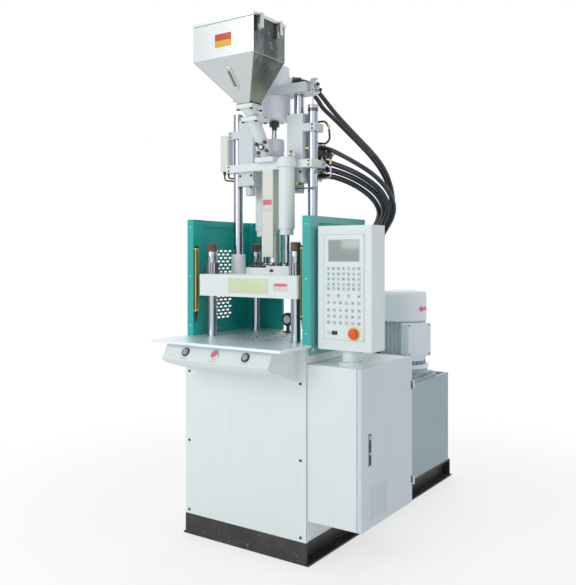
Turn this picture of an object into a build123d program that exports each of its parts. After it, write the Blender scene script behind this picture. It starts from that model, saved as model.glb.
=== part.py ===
"""Vertical injection moulding machine with a four-bar clamp and a hopper-fed injection unit.

Millimetres, Z up, X across the machine, Y from the operator towards the tank.
The origin is the centre of the skid's footprint, on the floor.
"""
import math
import os

from build123d import *

os.makedirs("parts", exist_ok=True)

# Skid and body
skid_length = 1630.0
skid_height = 100.0
channel_web = 8.0
channel_depth = 50.0
flange_reach = 12.0
anchor_inset = 55.0
anchor_side = 25.0
anchor_radius = 9.0
body_width = 700.0
body_depth = 575.0
body_wall = 10.0
panel_sheet = 3.0
seat_gap = 0.3

# Table, bed plate and console
table_height = 962.0
table_sheet = 6.0
table_front_width = 730.0
table_overhang = 220.0
table_rim = 12.0
bed_thickness = 86.0
console_width = 600.0
console_lip_reach = 217.0
console_lip_thick = 20.0
console_drop = 155.0
console_face_lean = 41.0
console_lip_rise = 59.0
console_face_height = 71.0
console_lip_back = 23.0

# Clamp
axis_setback = 255.0
bar_spacing_x = 490.0
bar_spacing_y = 358.0
bar_radius = 22.5
bar_top_reach = 150.0
daylight = 197.0
platen_width = 580.0
platen_depth = 460.0
platen_thickness = 104.0
platen_corner = 14.0
nut_radius = 31.0
nut_height = 55.0
slot_width = 9.0
slot_depth = 6.0
nut_slots = 4
crosshead_thickness = 80.0
crosshead_drop = 430.0
piston_radius = 70.0
clamp_cylinder_radius = 130.0
clamp_cylinder_length = 270.0
clamp_up = 150.0
mould_bolt_spacing = 280.0
mould_bolt_radius = 8.0
mould_bolt_depth = 30.0
running_gap = 0.05
end_gap = 1.0

# Guide columns and what stands on the platen
column_radius = 25.0
column_height = 801.0
collar_radius = 36.0
collar_height = 95.0
base_ring_radius = 140.0
base_ring_height = 32.0
rod_foot_height = 40.0
rod_foot_inner_reach = 45.0
rod_foot_outer_reach = 180.0
rod_foot_depth = 80.0

# Carriage
carriage_offset_x = 135.0
carriage_offset_y = 90.0
carriage_radius = 38.0
carriage_bore = 30.0
carriage_rod_radius = 14.0
carriage_cylinder_bottom = 214.0
carriage_gland = 28.0
carriage_up = 120.0
carriage_plate_rise = 503.0
carriage_plate_thick = 37.0
carriage_plate_width = 510.0
carriage_plate_edge = 6.0
carriage_plate_depth = 120.0
carriage_lobe = 8.0
manifold_length = 90.0
manifold_depth = 60.0
manifold_drop = 54.0
manifold_height = 186.0

# Injection cylinders and plate
injection_spacing_share = 0.6518
injection_width = 90.0
injection_depth = 80.0
injection_height = 221.0
injection_rod_radius = 25.0
injection_down = 35.0
injection_up = 105.0
cylinder_floor = 12.0
head_height = 44.0
head_flange = 24.0
head_flange_rim = 5.0
end_nut_radius = 24.0
end_nut_height = 47.0
guide_rise = 134.0
guide_thick = 37.0
guide_rim = 9.0
injection_plate_rise = 318.0
injection_plate_thick = 45.0
injection_plate_inset = 8.0
injection_plate_depth = 120.0
bearing_radius = 80.0
bearing_height = 90.0
bearing_flange = 20.0
bearing_bolts = 8
coupling_radius = 25.0
coupling_height = 24.0
coupling_sides = 12
motor_radius = 75.0
motor_height = 84.0
motor_flange = 20.0
motor_flange_width = 140.0
port_radius = 17.0
port_reach = 26.0
port_crimp_radius = 15.0
port_rise = 22.0
port_angles = (35.0, 65.0)
port_run = 33.0
clamp_block_width = 29.0
clamp_block_height = 51.0
scale_rod_radius = 3.0
scale_rod_hold = 30.0
box_side = 52.0
junction_height = 183.0

# Barrel, screw and feed
barrel_radius = 26.0
barrel_length = 560.0
screw_radius = 13.0
nozzle_length = 90.0
nozzle_radius = 12.0
nozzle_bore = 5.0
band_radius = 29.0
band_height = 60.0
band_pitch = 66.0
band_count = 6
cover_width = 64.0
cover_depth = 115.0
cover_length = 420.0
cover_sheet = 1.5
cover_window = 127.0
feed_radius = 50.0
feed_bottom_radius = 36.0
feed_height = 115.0
feed_flange = 22.0
feed_flange_width = 110.0
chute_radius = 30.0
chute_bore = 25.0
feed_flange_reach = 92.0
chute_foot_setback = 51.0
chute_valve_share = 0.26
valve_radius = 13.0
valve_reach = 62.0
valve_turn = -72.0

# Hopper
neck_bottom_rise = 177.0
neck_plate = 20.0
neck_gap = 33.0
neck_lean = 37.0
neck_plate_width = 94.0
neck_radius = 36.0
hopper_width = 344.0
hopper_depth = 236.0
hopper_throat_width = 60.0
hopper_throat_depth = 78.0
hopper_cone_height = 183.0
hopper_straight = 170.0
hopper_sheet = 2.5
hopper_back_setback = 162.0
lid_thick = 3.0
lid_skirt = 15.0
lid_gap = 1.5
lid_top_gap = 0.5
latch_length = 62.0
latch_width = 22.0
latch_plate = 4.0
latch_shares = (0.16, 0.78)

# Guards
guard_top = 1528.0
guard_width = 712.0
guard_length = 505.0
guard_front_setback = 19.0
guard_post_width = 38.0
guard_post_depth = 81.0
guard_sheet = 3.0
guard_recess = 9.0
guard_rail = 30.0
guard_foot_drop = 47.0
guard_foot_length = 270.0
hole_columns = 4
hole_rows = 20
hole_length = 25.0
hole_height = 9.0
hole_pitch_x = 36.0
hole_pitch_z = 18.0
hole_field_setback = 191.0
hole_field_bottom = 72.0
rear_panel_reach = 226.0
curtain_width = 13.0
curtain_depth = 22.0
curtain_bottom = 119.0
curtain_length = 307.0

# Electrical cabinet
cabinet_width = 267.0
cabinet_depth = 497.0
cabinet_bottom = 195.0
cabinet_top_drop = 85.0
cabinet_front_setback = 10.0
cabinet_sheet = 3.0
door_rim = 20.0
door_gap = 2.0
door_sheet = 2.0
hinge_radius = 6.0
hinge_pin_radius = 3.0
hinge_height = 38.0
hinge_shares = (0.12, 0.78)
latch_opening_z = 333.0
handle_length = 140.0
handle_width = 30.0
handle_thick = 7.0
louvre_count = 9
louvre_pitch = 17.0
louvre_height = 12.0
louvre_length = 150.0
louvre_depth = 5.0
louvre_inset = 85.0
louvre_bottom = 35.0
gear_inset = 42.0
gear_depth = 90.0
gear_margin = 20.0
gear_rows = 3
gear_columns = 3
hinge_gap = 3.0
handle_inset = 76.0
handle_pin_radius = 1.5

# Control panel on its post
post_x = 508.0
post_setback = 116.0
post_radius = 37.0
post_flange_radius = 54.0
post_flange_thick = 12.0
post_height = 63.0
spigot_radius = 20.0
spigot_length = 24.0
pendant_width = 272.0
pendant_depth = 122.0
pendant_height = 537.0
pendant_corner = 10.0
pendant_rise = 4.0
face_width = 200.0
face_height = 464.0
face_thick = 3.0
face_bottom = 40.0
screen_width = 149.0
screen_height = 90.0
screen_recess = 1.5
screen_bottom = 344.0
key_size = 13.0
key_relief = 1.2
key_span = 150.0
upper_key_rows = (312.0, 289.0, 267.0, 244.0, 225.0)
middle_key_rows = (195.0,)
lower_key_rows = (165.0, 133.0, 106.0, 79.0)
estop_x = 51.0
estop_rise = 75.0
estop_radius = 20.0
estop_ring_radius = 27.0
estop_ring_thick = 4.0
estop_stem = 8.0
estop_travel = 4.0
estop_height = 26.0
estop_head = 19.0
estop_round = 9.0

# Console buttons
button_spacing = 170.0
button_radius = 14.0
button_ring_radius = 19.0
button_ring_height = 5.0
button_stem = 7.0
button_travel = 4.0
button_height = 6.0
button_pocket = 26.0

# Tank, valve bay and motor
tank_height = 536.0
tank_length = 730.0
tank_rear_inset = 25.0
tank_sheet = 4.0
tray_length = 150.0
tray_depth = 30.0
tray_rim = 18.0
bay_height = 700.0
bay_slot_width = 76.0
bay_slot_depth = 120.0
bay_slot_x = 263.0
bay_slot_setback = 107.5
valve_width = 110.0
valve_height = 260.0
drive_x = 190.0
drive_setback = 310.0
drive_base_width = 300.0
drive_base_height = 34.0
bell_height = 30.0
bell_radius = 150.0
housing_height = 277.0
housing_radius = 122.0
fin_count = 32
fin_reach = 12.0
fin_thick = 4.0
drive_flange = 24.0
fan_cover_height = 172.0
fan_cover_radius = 140.0
fan_cover_sheet = 3.0
fan_cover_round = 26.0
grille_slots = 16
grille_slot_width = 9.0
fan_radius = 120.0
fan_blades = 6
fan_height = 46.0
shaft_radius = 14.0
box_width = 150.0
box_height = 205.0
box_reach = 190.0
box_turn = -35.0
box_taper = 40.0
box_chin_reach = 54.0

# Hoses
motor_hose_radius = 11.0
carriage_hose_radius = 12.5
bend_share = 0.45

# Places worked out from the sizes above
front_y = -skid_length / 2
back_y = skid_length / 2
body_back = front_y + body_depth
half_body = body_width / 2
axis_y = front_y + axis_setback
bed_top = table_height - table_sheet
bed_bottom = bed_top - bed_thickness
table_front = front_y - table_overhang
platen_bottom = table_height + daylight
platen_top = platen_bottom + platen_thickness
bar_top = platen_top + bar_top_reach
crosshead_bottom = bed_bottom - crosshead_drop - crosshead_thickness
crosshead_top = crosshead_bottom + crosshead_thickness
bar_bottom = crosshead_bottom - nut_height
column_top = platen_top + column_height
column_spacing = carriage_plate_width - 2 * (column_radius + carriage_plate_edge)
injection_spacing = column_spacing * injection_spacing_share
plate_bottom = platen_top + carriage_plate_rise
plate_top = plate_bottom + carriage_plate_thick
block_top = plate_top + injection_height
deck_bottom = plate_top + injection_plate_rise
scale_rod_bottom = column_top - injection_up - scale_rod_hold
deck_top = deck_bottom + injection_plate_thick
cylinder_bottom = platen_top + carriage_cylinder_bottom
neck_bottom = plate_top + neck_bottom_rise
neck_top = neck_bottom + neck_plate
throat_bottom = neck_top + neck_gap
throat_top = throat_bottom + neck_plate
cone_top = throat_top + hopper_cone_height
hopper_top = cone_top + hopper_straight
hopper_back = axis_y - hopper_back_setback
hopper_front = hopper_back - hopper_depth
throat_y = hopper_back - hopper_throat_depth / 2
neck_y = throat_y + neck_lean
guard_front = front_y + guard_front_setback
guard_back = guard_front + guard_length
half_guard = guard_width / 2
cabinet_top = table_height - cabinet_top_drop
cabinet_height = cabinet_top - cabinet_bottom
cabinet_front = front_y + cabinet_front_setback
cabinet_back = cabinet_front + cabinet_depth
cabinet_face = half_body + cabinet_width
door_inside = cabinet_face - door_rim
post_y = front_y + post_setback
post_top = cabinet_top + post_height
pendant_bottom = post_top + pendant_rise
pendant_front = post_y - pendant_depth / 2
tank_front = back_y - tank_rear_inset - tank_length
tank_back = back_y - tank_rear_inset
tank_top = skid_height + tank_height
bay_top = skid_height + bay_height
drive_y = tank_back - drive_setback
housing_bottom = tank_top + drive_base_height + bell_height
housing_top = housing_bottom + housing_height
fan_top = housing_top + fan_cover_height
bar_places = [
    (x * bar_spacing_x / 2, axis_y + y * bar_spacing_y / 2) for x in (-1, 1) for y in (-1, 1)
]
column_places = [(x * column_spacing / 2, axis_y) for x in (-1, 1)]
injection_places = [(x * injection_spacing / 2, axis_y) for x in (-1, 1)]
carriage_places = [(x * carriage_offset_x, axis_y - x * carriage_offset_y) for x in (-1, 1)]
hinge_centre = (cabinet_face + hinge_radius / 2, cabinet_back + hinge_radius)
hinge_places = [cabinet_bottom + share * cabinet_height for share in hinge_shares]
pieces = {}


def rect(x_range, y_range, mode=Mode.ADD):
    """Draw a rectangle between two corners of the sketch."""
    with Locations(((x_range[0] + x_range[1]) / 2, (y_range[0] + y_range[1]) / 2)):
        Rectangle(x_range[1] - x_range[0], y_range[1] - y_range[0], mode=mode)


def block(x_range, y_range, z_range, mode=Mode.ADD):
    """Add or cut a square-edged block between two corners."""
    with BuildSketch(Plane.XY.offset(z_range[0])) as outline:
        rect(x_range, y_range)
    extrude(outline.sketch, amount=z_range[1] - z_range[0], mode=mode)


def turned(places, radius, z_range, mode=Mode.ADD):
    """Add or cut upright round stock at each place."""
    with BuildSketch(Plane.XY.offset(z_range[0])) as outline:
        with Locations(*places):
            Circle(radius)
    extrude(outline.sketch, amount=z_range[1] - z_range[0], mode=mode)


def both(low, high):
    """A range centred on zero or between two values, as a tuple."""
    return (min(low, high), max(low, high))


# Skid: side channels open outwards, closed by front, middle and rear channels
web_x = half_body - channel_depth
with BuildPart() as skid:
    with BuildSketch(Plane.XZ.offset(-skid_length / 2)):
        for side in (1, -1):
            rect(both(side * web_x, side * (web_x + channel_web)), (0, skid_height))
            rect(both(side * web_x, side * half_body), (skid_height - channel_web, skid_height))
            rect(both(side * web_x, side * (half_body + flange_reach)), (0, channel_web))
    extrude(amount=skid_length)
    for cross_y in (front_y, body_back, back_y - channel_web):
        block((-half_body, half_body), (cross_y, cross_y + channel_web), (0, skid_height))
        flange_y = both(cross_y, cross_y + channel_depth * (1 if cross_y < 0 else -1))
        block((-web_x, web_x), flange_y, (0, channel_web))
        block((-web_x, web_x), flange_y, (skid_height - channel_web, skid_height))
    anchor_x = half_body - anchor_side
    anchors = [(x * anchor_x, y * (skid_length / 2 - anchor_inset)) for x in (-1, 1) for y in (-1, 1)]
    turned(anchors, anchor_radius, (0, channel_web), Mode.SUBTRACT)
pieces["skid"] = skid

# Body frame: welded plate box with an open front, ledges for the bed plate and an open top
with BuildPart() as body_frame:
    block((-half_body, half_body), (front_y + panel_sheet, body_back), (skid_height, bed_top))
    inner_x = half_body - body_wall
    block((-inner_x, inner_x), (front_y, body_back - body_wall), (skid_height + body_wall, bed_top),
          Mode.SUBTRACT)
    for side in (1, -1):
        block(both(side * inner_x, side * (inner_x - 2 * body_wall)),
              (front_y + panel_sheet, body_back - body_wall), (bed_bottom - 2 * body_wall, bed_bottom))
pieces["body_frame"] = body_frame

# Front panel: one sheet with rolled side edges
with BuildPart() as front_panel:
    with BuildSketch(Plane.XY.offset(skid_height + seat_gap)):
        rect((-half_body, half_body), (front_y, front_y + panel_sheet - seat_gap))
    extrude(amount=bed_top - skid_height - 2 * seat_gap)
    fillet(front_panel.edges().filter_by(Axis.Z).group_by(Axis.Y)[0], panel_sheet / 2)
pieces["front_panel"] = front_panel

# Bed plate: the fixed platen, bored for the tie bars and tapped for the lower mould half
bolt_places = [
    (x * mould_bolt_spacing / 2, axis_y + y * mould_bolt_spacing / 2) for x in (-1, 1) for y in (-1, 1)
]
with BuildPart() as bed_plate:
    bed_x = inner_x - seat_gap
    block((-bed_x, bed_x), (axis_y - platen_depth / 2, axis_y + platen_depth / 2), (bed_bottom, bed_top))
    turned(bar_places, bar_radius + running_gap, (bed_bottom, bed_top), Mode.SUBTRACT)
    turned(bolt_places, mould_bolt_radius, (bed_top - mould_bolt_depth, bed_top), Mode.SUBTRACT)
pieces["bed_plate"] = bed_plate

# Clamp cylinder: hangs under the bed plate, bored from below for the piston rod
with BuildPart() as clamp_cylinder:
    low = bed_bottom - clamp_cylinder_length
    turned([(0, axis_y)], clamp_cylinder_radius, (low, bed_bottom))
    turned([(0, axis_y)], piston_radius + running_gap, (low, bed_bottom - cylinder_floor), Mode.SUBTRACT)
    chamfer(clamp_cylinder.edges().group_by(Axis.Z)[0].sort_by(SortBy.LENGTH)[-1], panel_sheet)
pieces["clamp_cylinder"] = clamp_cylinder

# Table: one folded stainless sheet, narrower between the guards, with a rim where it overhangs
half_table = table_front_width / 2
with BuildPart() as table:
    with BuildSketch(Plane.XY.offset(bed_top)):
        rect((-half_table, half_table), (table_front, guard_front - seat_gap))
        rect((-half_body, half_body), (table_front, guard_back))
        with Locations(*bar_places):
            Circle(bar_radius + table_sheet / 2, mode=Mode.SUBTRACT)
        with Locations(*bolt_places):
            Circle(mould_bolt_radius, mode=Mode.SUBTRACT)
    extrude(amount=table_sheet)
    with BuildSketch(Plane.XY.offset(table_height - table_rim)):
        rect((-half_table, half_table), (table_front, guard_front - seat_gap))
        rect((table_sheet - half_table, half_table - table_sheet),
             (table_front + table_sheet, guard_front), Mode.SUBTRACT)
    extrude(amount=table_rim - table_sheet)
    fillet(table.edges().filter_by(Axis.Z).group_by(Axis.Y)[0], table_sheet / 2)
pieces["table"] = table

# Console: folded box under the table's front, with a leaning button face
lip_bottom = bed_top - console_drop + console_lip_rise
lean_top = (front_y - console_lip_reach + console_face_lean,
            lip_bottom + console_lip_thick + console_face_height)
lean_bottom = (front_y - console_lip_reach, lip_bottom + console_lip_thick)
face_normal = Vector(0, lean_bottom[1] - lean_top[1], lean_top[0] - lean_bottom[0]).normalized()
face_middle = Vector(0, (lean_top[0] + lean_bottom[0]) / 2, (lean_top[1] + lean_bottom[1]) / 2)
console_top = table_height - table_sheet - seat_gap
button_face = Plane(origin=face_middle, x_dir=(1, 0, 0), z_dir=face_normal)
button_places = [(-button_spacing, 0), (0, 0), (button_spacing, 0)]
with BuildPart() as console:
    for inset, mode in ((0, Mode.ADD), (panel_sheet, Mode.SUBTRACT)):
        with BuildSketch(Plane.YZ.offset(inset - console_width / 2)):
            with BuildLine():
                Polyline(
                    (front_y, console_top),
                    (front_y, bed_top - console_drop),
                    (lean_bottom[0] + console_lip_back, lip_bottom),
                    lean_bottom,
                    lean_top,
                    (lean_top[0], console_top),
                    close=True,
                )
            make_face()
            if inset:
                offset(amount=-inset, mode=Mode.REPLACE)
        extrude(amount=console_width - 2 * inset, mode=mode)
    with BuildSketch(button_face):
        with Locations(*button_places):
            Circle(button_ring_radius)
    extrude(amount=button_ring_height)
    with BuildSketch(button_face.offset(button_ring_height)):
        with Locations(*button_places):
            Circle(button_radius + running_gap)
    extrude(amount=-button_height - button_travel - end_gap, mode=Mode.SUBTRACT)
    with BuildSketch(button_face):
        with Locations(*button_places):
            Circle(button_stem + running_gap)
    extrude(amount=-button_pocket, mode=Mode.SUBTRACT)
pieces["console"] = console

# Console buttons: a crowned cap on a stem, two to start and one to stop
for label, place in zip(("start_button_left", "stop_button", "start_button_right"), button_places):
    cap_foot = button_face.offset(button_ring_height - button_height)
    with BuildPart() as button:
        with BuildSketch(cap_foot):
            with Locations(place):
                Circle(button_radius)
        extrude(amount=button_height + button_travel)
        fillet(button.faces().sort_by(Axis(face_middle, face_normal))[-1].edges(), button_radius / 5)
        with BuildSketch(cap_foot):
            with Locations(place):
                Circle(button_stem)
        extrude(amount=-(button_pocket - button_height - 2 * button_travel))
    pieces[label] = button

# Upper platen: bored for the tie bars and the nozzle, tapped below for the upper mould half
with BuildPart() as upper_platen:
    half_x = platen_width / 2
    half_y = platen_depth / 2
    block((-half_x, half_x), (axis_y - half_y, axis_y + half_y), (platen_bottom, platen_top))
    fillet(upper_platen.edges().filter_by(Axis.Z), platen_corner)
    chamfer(upper_platen.faces().sort_by(Axis.Z)[-1].edges(), panel_sheet)
    turned(bar_places, bar_radius + running_gap, (platen_bottom, platen_top), Mode.SUBTRACT)
    turned(bolt_places, mould_bolt_radius, (platen_bottom, platen_bottom + mould_bolt_depth),
           Mode.SUBTRACT)
    turned([(0, axis_y)], barrel_radius + 2 * table_sheet, (platen_bottom + 2 * table_sheet, platen_top),
           Mode.SUBTRACT)
    turned([(0, axis_y)], nozzle_radius + end_gap, (platen_bottom, platen_top), Mode.SUBTRACT)
pieces["upper_platen"] = upper_platen

# Tie bars, with a chamfered thread end above the nuts
with BuildPart() as tie_bars:
    turned(bar_places, bar_radius, (bar_bottom, bar_top))
    chamfer(tie_bars.edges().group_by(Axis.Z)[-1], slot_depth / 2)
pieces["tie_bars"] = tie_bars

# Slotted ring nuts above the platen and under the crosshead
with BuildPart() as tie_bar_nuts:
    for nut_bottom in (platen_top, crosshead_bottom - nut_height):
        with BuildSketch(Plane.XY.offset(nut_bottom)):
            with Locations(*bar_places):
                Circle(nut_radius)
                Circle(bar_radius + running_gap, mode=Mode.SUBTRACT)
                with PolarLocations(nut_radius, nut_slots):
                    Rectangle(2 * slot_depth, slot_width, mode=Mode.SUBTRACT)
        extrude(amount=nut_height)
pieces["tie_bar_nuts"] = tie_bar_nuts

# Crosshead: ties the four bars together under the clamp cylinder, with its piston rod
with BuildPart() as crosshead:
    block((-half_x, half_x), (axis_y - half_y, axis_y + half_y), (crosshead_bottom, crosshead_top))
    fillet(crosshead.edges().filter_by(Axis.Z), platen_corner)
    turned(bar_places, bar_radius + running_gap, (crosshead_bottom, crosshead_top), Mode.SUBTRACT)
    piston_top = bed_bottom - cylinder_floor - clamp_up - end_gap
    turned([(0, axis_y)], piston_radius, (crosshead_top, piston_top))
pieces["crosshead"] = crosshead

# Guide columns: chrome, drilled at the top for the scale rod
with BuildPart() as guide_columns:
    turned(column_places, column_radius, (platen_top, column_top))
    chamfer(guide_columns.edges().group_by(Axis.Z)[-1], lid_thick / 2)
    turned([column_places[1]], scale_rod_radius + running_gap,
           (scale_rod_bottom - injection_down - end_gap, column_top), Mode.SUBTRACT)
pieces["guide_columns"] = guide_columns

# Column collars: round sockets that seat the columns on the platen
with BuildPart() as column_collars:
    turned(column_places, collar_radius, (platen_top, platen_top + collar_height))
    chamfer(column_collars.edges().group_by(Axis.Z)[-1], panel_sheet)
    turned(column_places, column_radius + running_gap, (platen_top, platen_top + collar_height),
           Mode.SUBTRACT)
pieces["column_collars"] = column_collars

# Base ring: round seat of the injection unit, with the two rod feet cast to it
with BuildPart() as base_ring:
    turned([(0, axis_y)], base_ring_radius, (platen_top, platen_top + base_ring_height))
    fillet(base_ring.edges().group_by(Axis.Z)[-1], slot_depth)
    for side, place in zip((-1, 1), carriage_places):
        block(both(side * rod_foot_inner_reach, side * rod_foot_outer_reach),
              (place[1] - rod_foot_depth / 2, place[1] + rod_foot_depth / 2),
              (platen_top, platen_top + rod_foot_height))
    turned([(0, axis_y)], band_radius + 2 * table_sheet, (platen_top, platen_top + rod_foot_height),
           Mode.SUBTRACT)
pieces["base_ring"] = base_ring

# Carriage rods with their pistons
rod_foot_top = platen_top + rod_foot_height
rod_top = plate_top - cylinder_floor - carriage_plate_thick
with BuildPart() as carriage_rods:
    turned(carriage_places, carriage_rod_radius, (rod_foot_top, rod_top))
    turned(carriage_places, carriage_bore - running_gap, (rod_top - nut_height / 2, rod_top))
pieces["carriage_rods"] = carriage_rods

# Carriage plate: slides on the columns, with round lobes at its cylinders and a hose manifold behind
half_plate = carriage_plate_width / 2
plate_y = (axis_y - carriage_plate_depth / 2, axis_y + carriage_plate_depth / 2)
manifold_x = (column_spacing / 2 - column_radius - manifold_length, column_spacing / 2 - column_radius)
manifold_y = (plate_y[1], plate_y[1] + manifold_depth)
manifold_z = (plate_bottom - manifold_drop, plate_bottom - manifold_drop + manifold_height)
with BuildPart() as carriage_plate:
    with BuildSketch(Plane.XY.offset(plate_bottom)):
        rect((-half_plate, half_plate), plate_y)
        with Locations(*carriage_places):
            Circle(carriage_radius + carriage_lobe)
        with Locations(*carriage_places):
            Circle(carriage_radius + running_gap, mode=Mode.SUBTRACT)
        with Locations(*column_places):
            Circle(column_radius + running_gap, mode=Mode.SUBTRACT)
        with Locations((0, axis_y)):
            Circle(barrel_radius + running_gap, mode=Mode.SUBTRACT)
    extrude(amount=carriage_plate_thick)
    block(manifold_x, manifold_y, manifold_z)
pieces["carriage_plate"] = carriage_plate

# Carriage cylinders: head with a round edge, tube, and a narrower gland at the foot
with BuildPart() as carriage_cylinders:
    turned(carriage_places, carriage_radius, (cylinder_bottom, plate_top + cylinder_floor))
    fillet(carriage_cylinders.edges().group_by(Axis.Z)[-1], table_sheet)
    turned(carriage_places, carriage_radius - table_sheet,
           (cylinder_bottom - carriage_gland, cylinder_bottom))
    turned(carriage_places, carriage_rod_radius + running_gap,
           (cylinder_bottom - carriage_gland, cylinder_bottom), Mode.SUBTRACT)
    # The bore stays long enough for the piston over the carriage's whole lift
    bore_bottom = rod_top - nut_height / 2 - carriage_up - 2 * end_gap
    turned(carriage_places, carriage_bore, (bore_bottom, plate_top), Mode.SUBTRACT)
    turned(carriage_places, carriage_rod_radius + running_gap, (cylinder_bottom, bore_bottom),
           Mode.SUBTRACT)
pieces["carriage_cylinders"] = carriage_cylinders

# Injection cylinders: square blocks with a guide bracket round each column
half_block = injection_width / 2
with BuildPart() as injection_cylinders:
    guide_bottom = plate_top + guide_rise
    for place, column in zip(injection_places, column_places):
        side = 1 if place[0] > 0 else -1
        block((place[0] - half_block, place[0] + half_block),
              (axis_y - injection_depth / 2, axis_y + injection_depth / 2), (plate_top, block_top))
        with BuildSketch(Plane.XY.offset(guide_bottom)):
            rect(both(place[0], side * (column_spacing / 2 + column_radius + guide_rim)),
                 (axis_y - injection_depth / 2, axis_y + injection_depth / 2))
        extrude(amount=guide_thick)
    fillet(injection_cylinders.edges().filter_by(Axis.Z), table_sheet / 2)
    turned(column_places, column_radius + running_gap, (plate_top, block_top), Mode.SUBTRACT)
    turned(injection_places, injection_rod_radius + running_gap, (plate_top + cylinder_floor, block_top),
           Mode.SUBTRACT)
pieces["injection_cylinders"] = injection_cylinders

# Cylinder heads under the carriage plate, each with a flange and a round end nut
head_bottom = plate_bottom - head_height
with BuildPart() as cylinder_heads:
    for place in injection_places:
        block((place[0] - half_block, place[0] + half_block),
              (axis_y - injection_depth / 2, axis_y + injection_depth / 2), (head_bottom, plate_bottom))
        flange_half = half_block + head_flange_rim
        block((place[0] - flange_half, place[0] + flange_half),
              (axis_y - injection_depth / 2, axis_y + injection_depth / 2),
              (head_bottom - head_flange, head_bottom))
    turned(injection_places, end_nut_radius,
           (head_bottom - head_flange - end_nut_height, head_bottom - head_flange))
    chamfer(cylinder_heads.edges().group_by(Axis.Z)[0], lid_thick)
    turned(column_places, column_radius + running_gap, (head_bottom - head_flange, plate_bottom),
           Mode.SUBTRACT)
pieces["cylinder_heads"] = cylinder_heads

# Barrel with its nozzle, bored for the screw, and its shoulder under the feed housing
barrel_bottom = plate_top - barrel_length
with BuildPart() as barrel:
    with BuildSketch(Plane.XZ.offset(-axis_y)):
        with BuildLine():
            Polyline(
                (screw_radius + running_gap, plate_top),
                (barrel_radius, plate_top),
                (barrel_radius, barrel_bottom + nozzle_radius),
                (barrel_radius - nozzle_radius / 2, barrel_bottom),
                (nozzle_radius, barrel_bottom),
                (nozzle_radius, barrel_bottom - nozzle_length + nozzle_bore),
                (nozzle_bore, barrel_bottom - nozzle_length),
                (nozzle_bore / 2, barrel_bottom - nozzle_length),
                (nozzle_bore / 2, barrel_bottom),
                (screw_radius + running_gap, barrel_bottom + screw_radius),
                close=True,
            )
        make_face()
    revolve(axis=Axis((0, axis_y, 0), (0, 0, 1)))
pieces["barrel"] = barrel

# Heater bands clamped round the barrel
band_bottoms = [barrel_bottom + nozzle_radius + seat_gap + band_pitch * step for step in range(band_count)]
with BuildPart() as heater_bands:
    for band_bottom in band_bottoms:
        with BuildSketch(Plane.XY.offset(band_bottom)):
            with Locations((0, axis_y)):
                Circle(band_radius)
                Circle(barrel_radius + running_gap, mode=Mode.SUBTRACT)
        extrude(amount=band_height)
pieces["heater_bands"] = heater_bands

# Barrel cover: folded sheet box round the barrel, its sides cut away at the bottom
cover_bottom = plate_bottom - cover_length
with BuildPart() as barrel_cover:
    half_cover = cover_width / 2
    half_cover_y = cover_depth / 2
    block((-half_cover, half_cover), (axis_y - half_cover_y, axis_y + half_cover_y),
          (cover_bottom, plate_bottom))
    fillet(barrel_cover.edges().filter_by(Axis.Z), cover_sheet * 2)
    block((cover_sheet - half_cover, half_cover - cover_sheet),
          (axis_y - half_cover_y + cover_sheet, axis_y + half_cover_y - cover_sheet),
          (cover_bottom, plate_bottom), Mode.SUBTRACT)
    block((-half_cover, half_cover), (axis_y - half_cover_y + 4 * cover_sheet, axis_y + half_cover_y),
          (cover_bottom, cover_bottom + cover_window), Mode.SUBTRACT)
pieces["barrel_cover"] = barrel_cover

# Feed housing: square flange, round throat and a cone, bored for the screw shaft
with BuildPart() as feed_housing:
    feed_half = feed_flange_width / 2
    block((-feed_half, feed_half), (axis_y - feed_flange_reach, axis_y + feed_half),
          (plate_top, plate_top + feed_flange))
    fillet(feed_housing.edges().filter_by(Axis.Z), table_sheet)
    with BuildSketch(Plane.XZ.offset(-axis_y)):
        with BuildLine():
            Polyline(
                (0, plate_top + feed_flange),
                (feed_bottom_radius, plate_top + feed_flange),
                (feed_radius, plate_top + feed_height / 2),
                (feed_radius, plate_top + feed_height - table_sheet),
                (feed_radius - table_sheet, plate_top + feed_height),
                (0, plate_top + feed_height),
                close=True,
            )
        make_face()
    revolve(axis=Axis((0, axis_y, 0), (0, 0, 1)))
    turned([(0, axis_y)], screw_radius + running_gap, (plate_top, plate_top + feed_height), Mode.SUBTRACT)
    block((-screw_radius, screw_radius), (axis_y - feed_radius, axis_y),
          (plate_top + feed_flange, plate_top + 2 * feed_flange), Mode.SUBTRACT)
pieces["feed_housing"] = feed_housing

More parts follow.
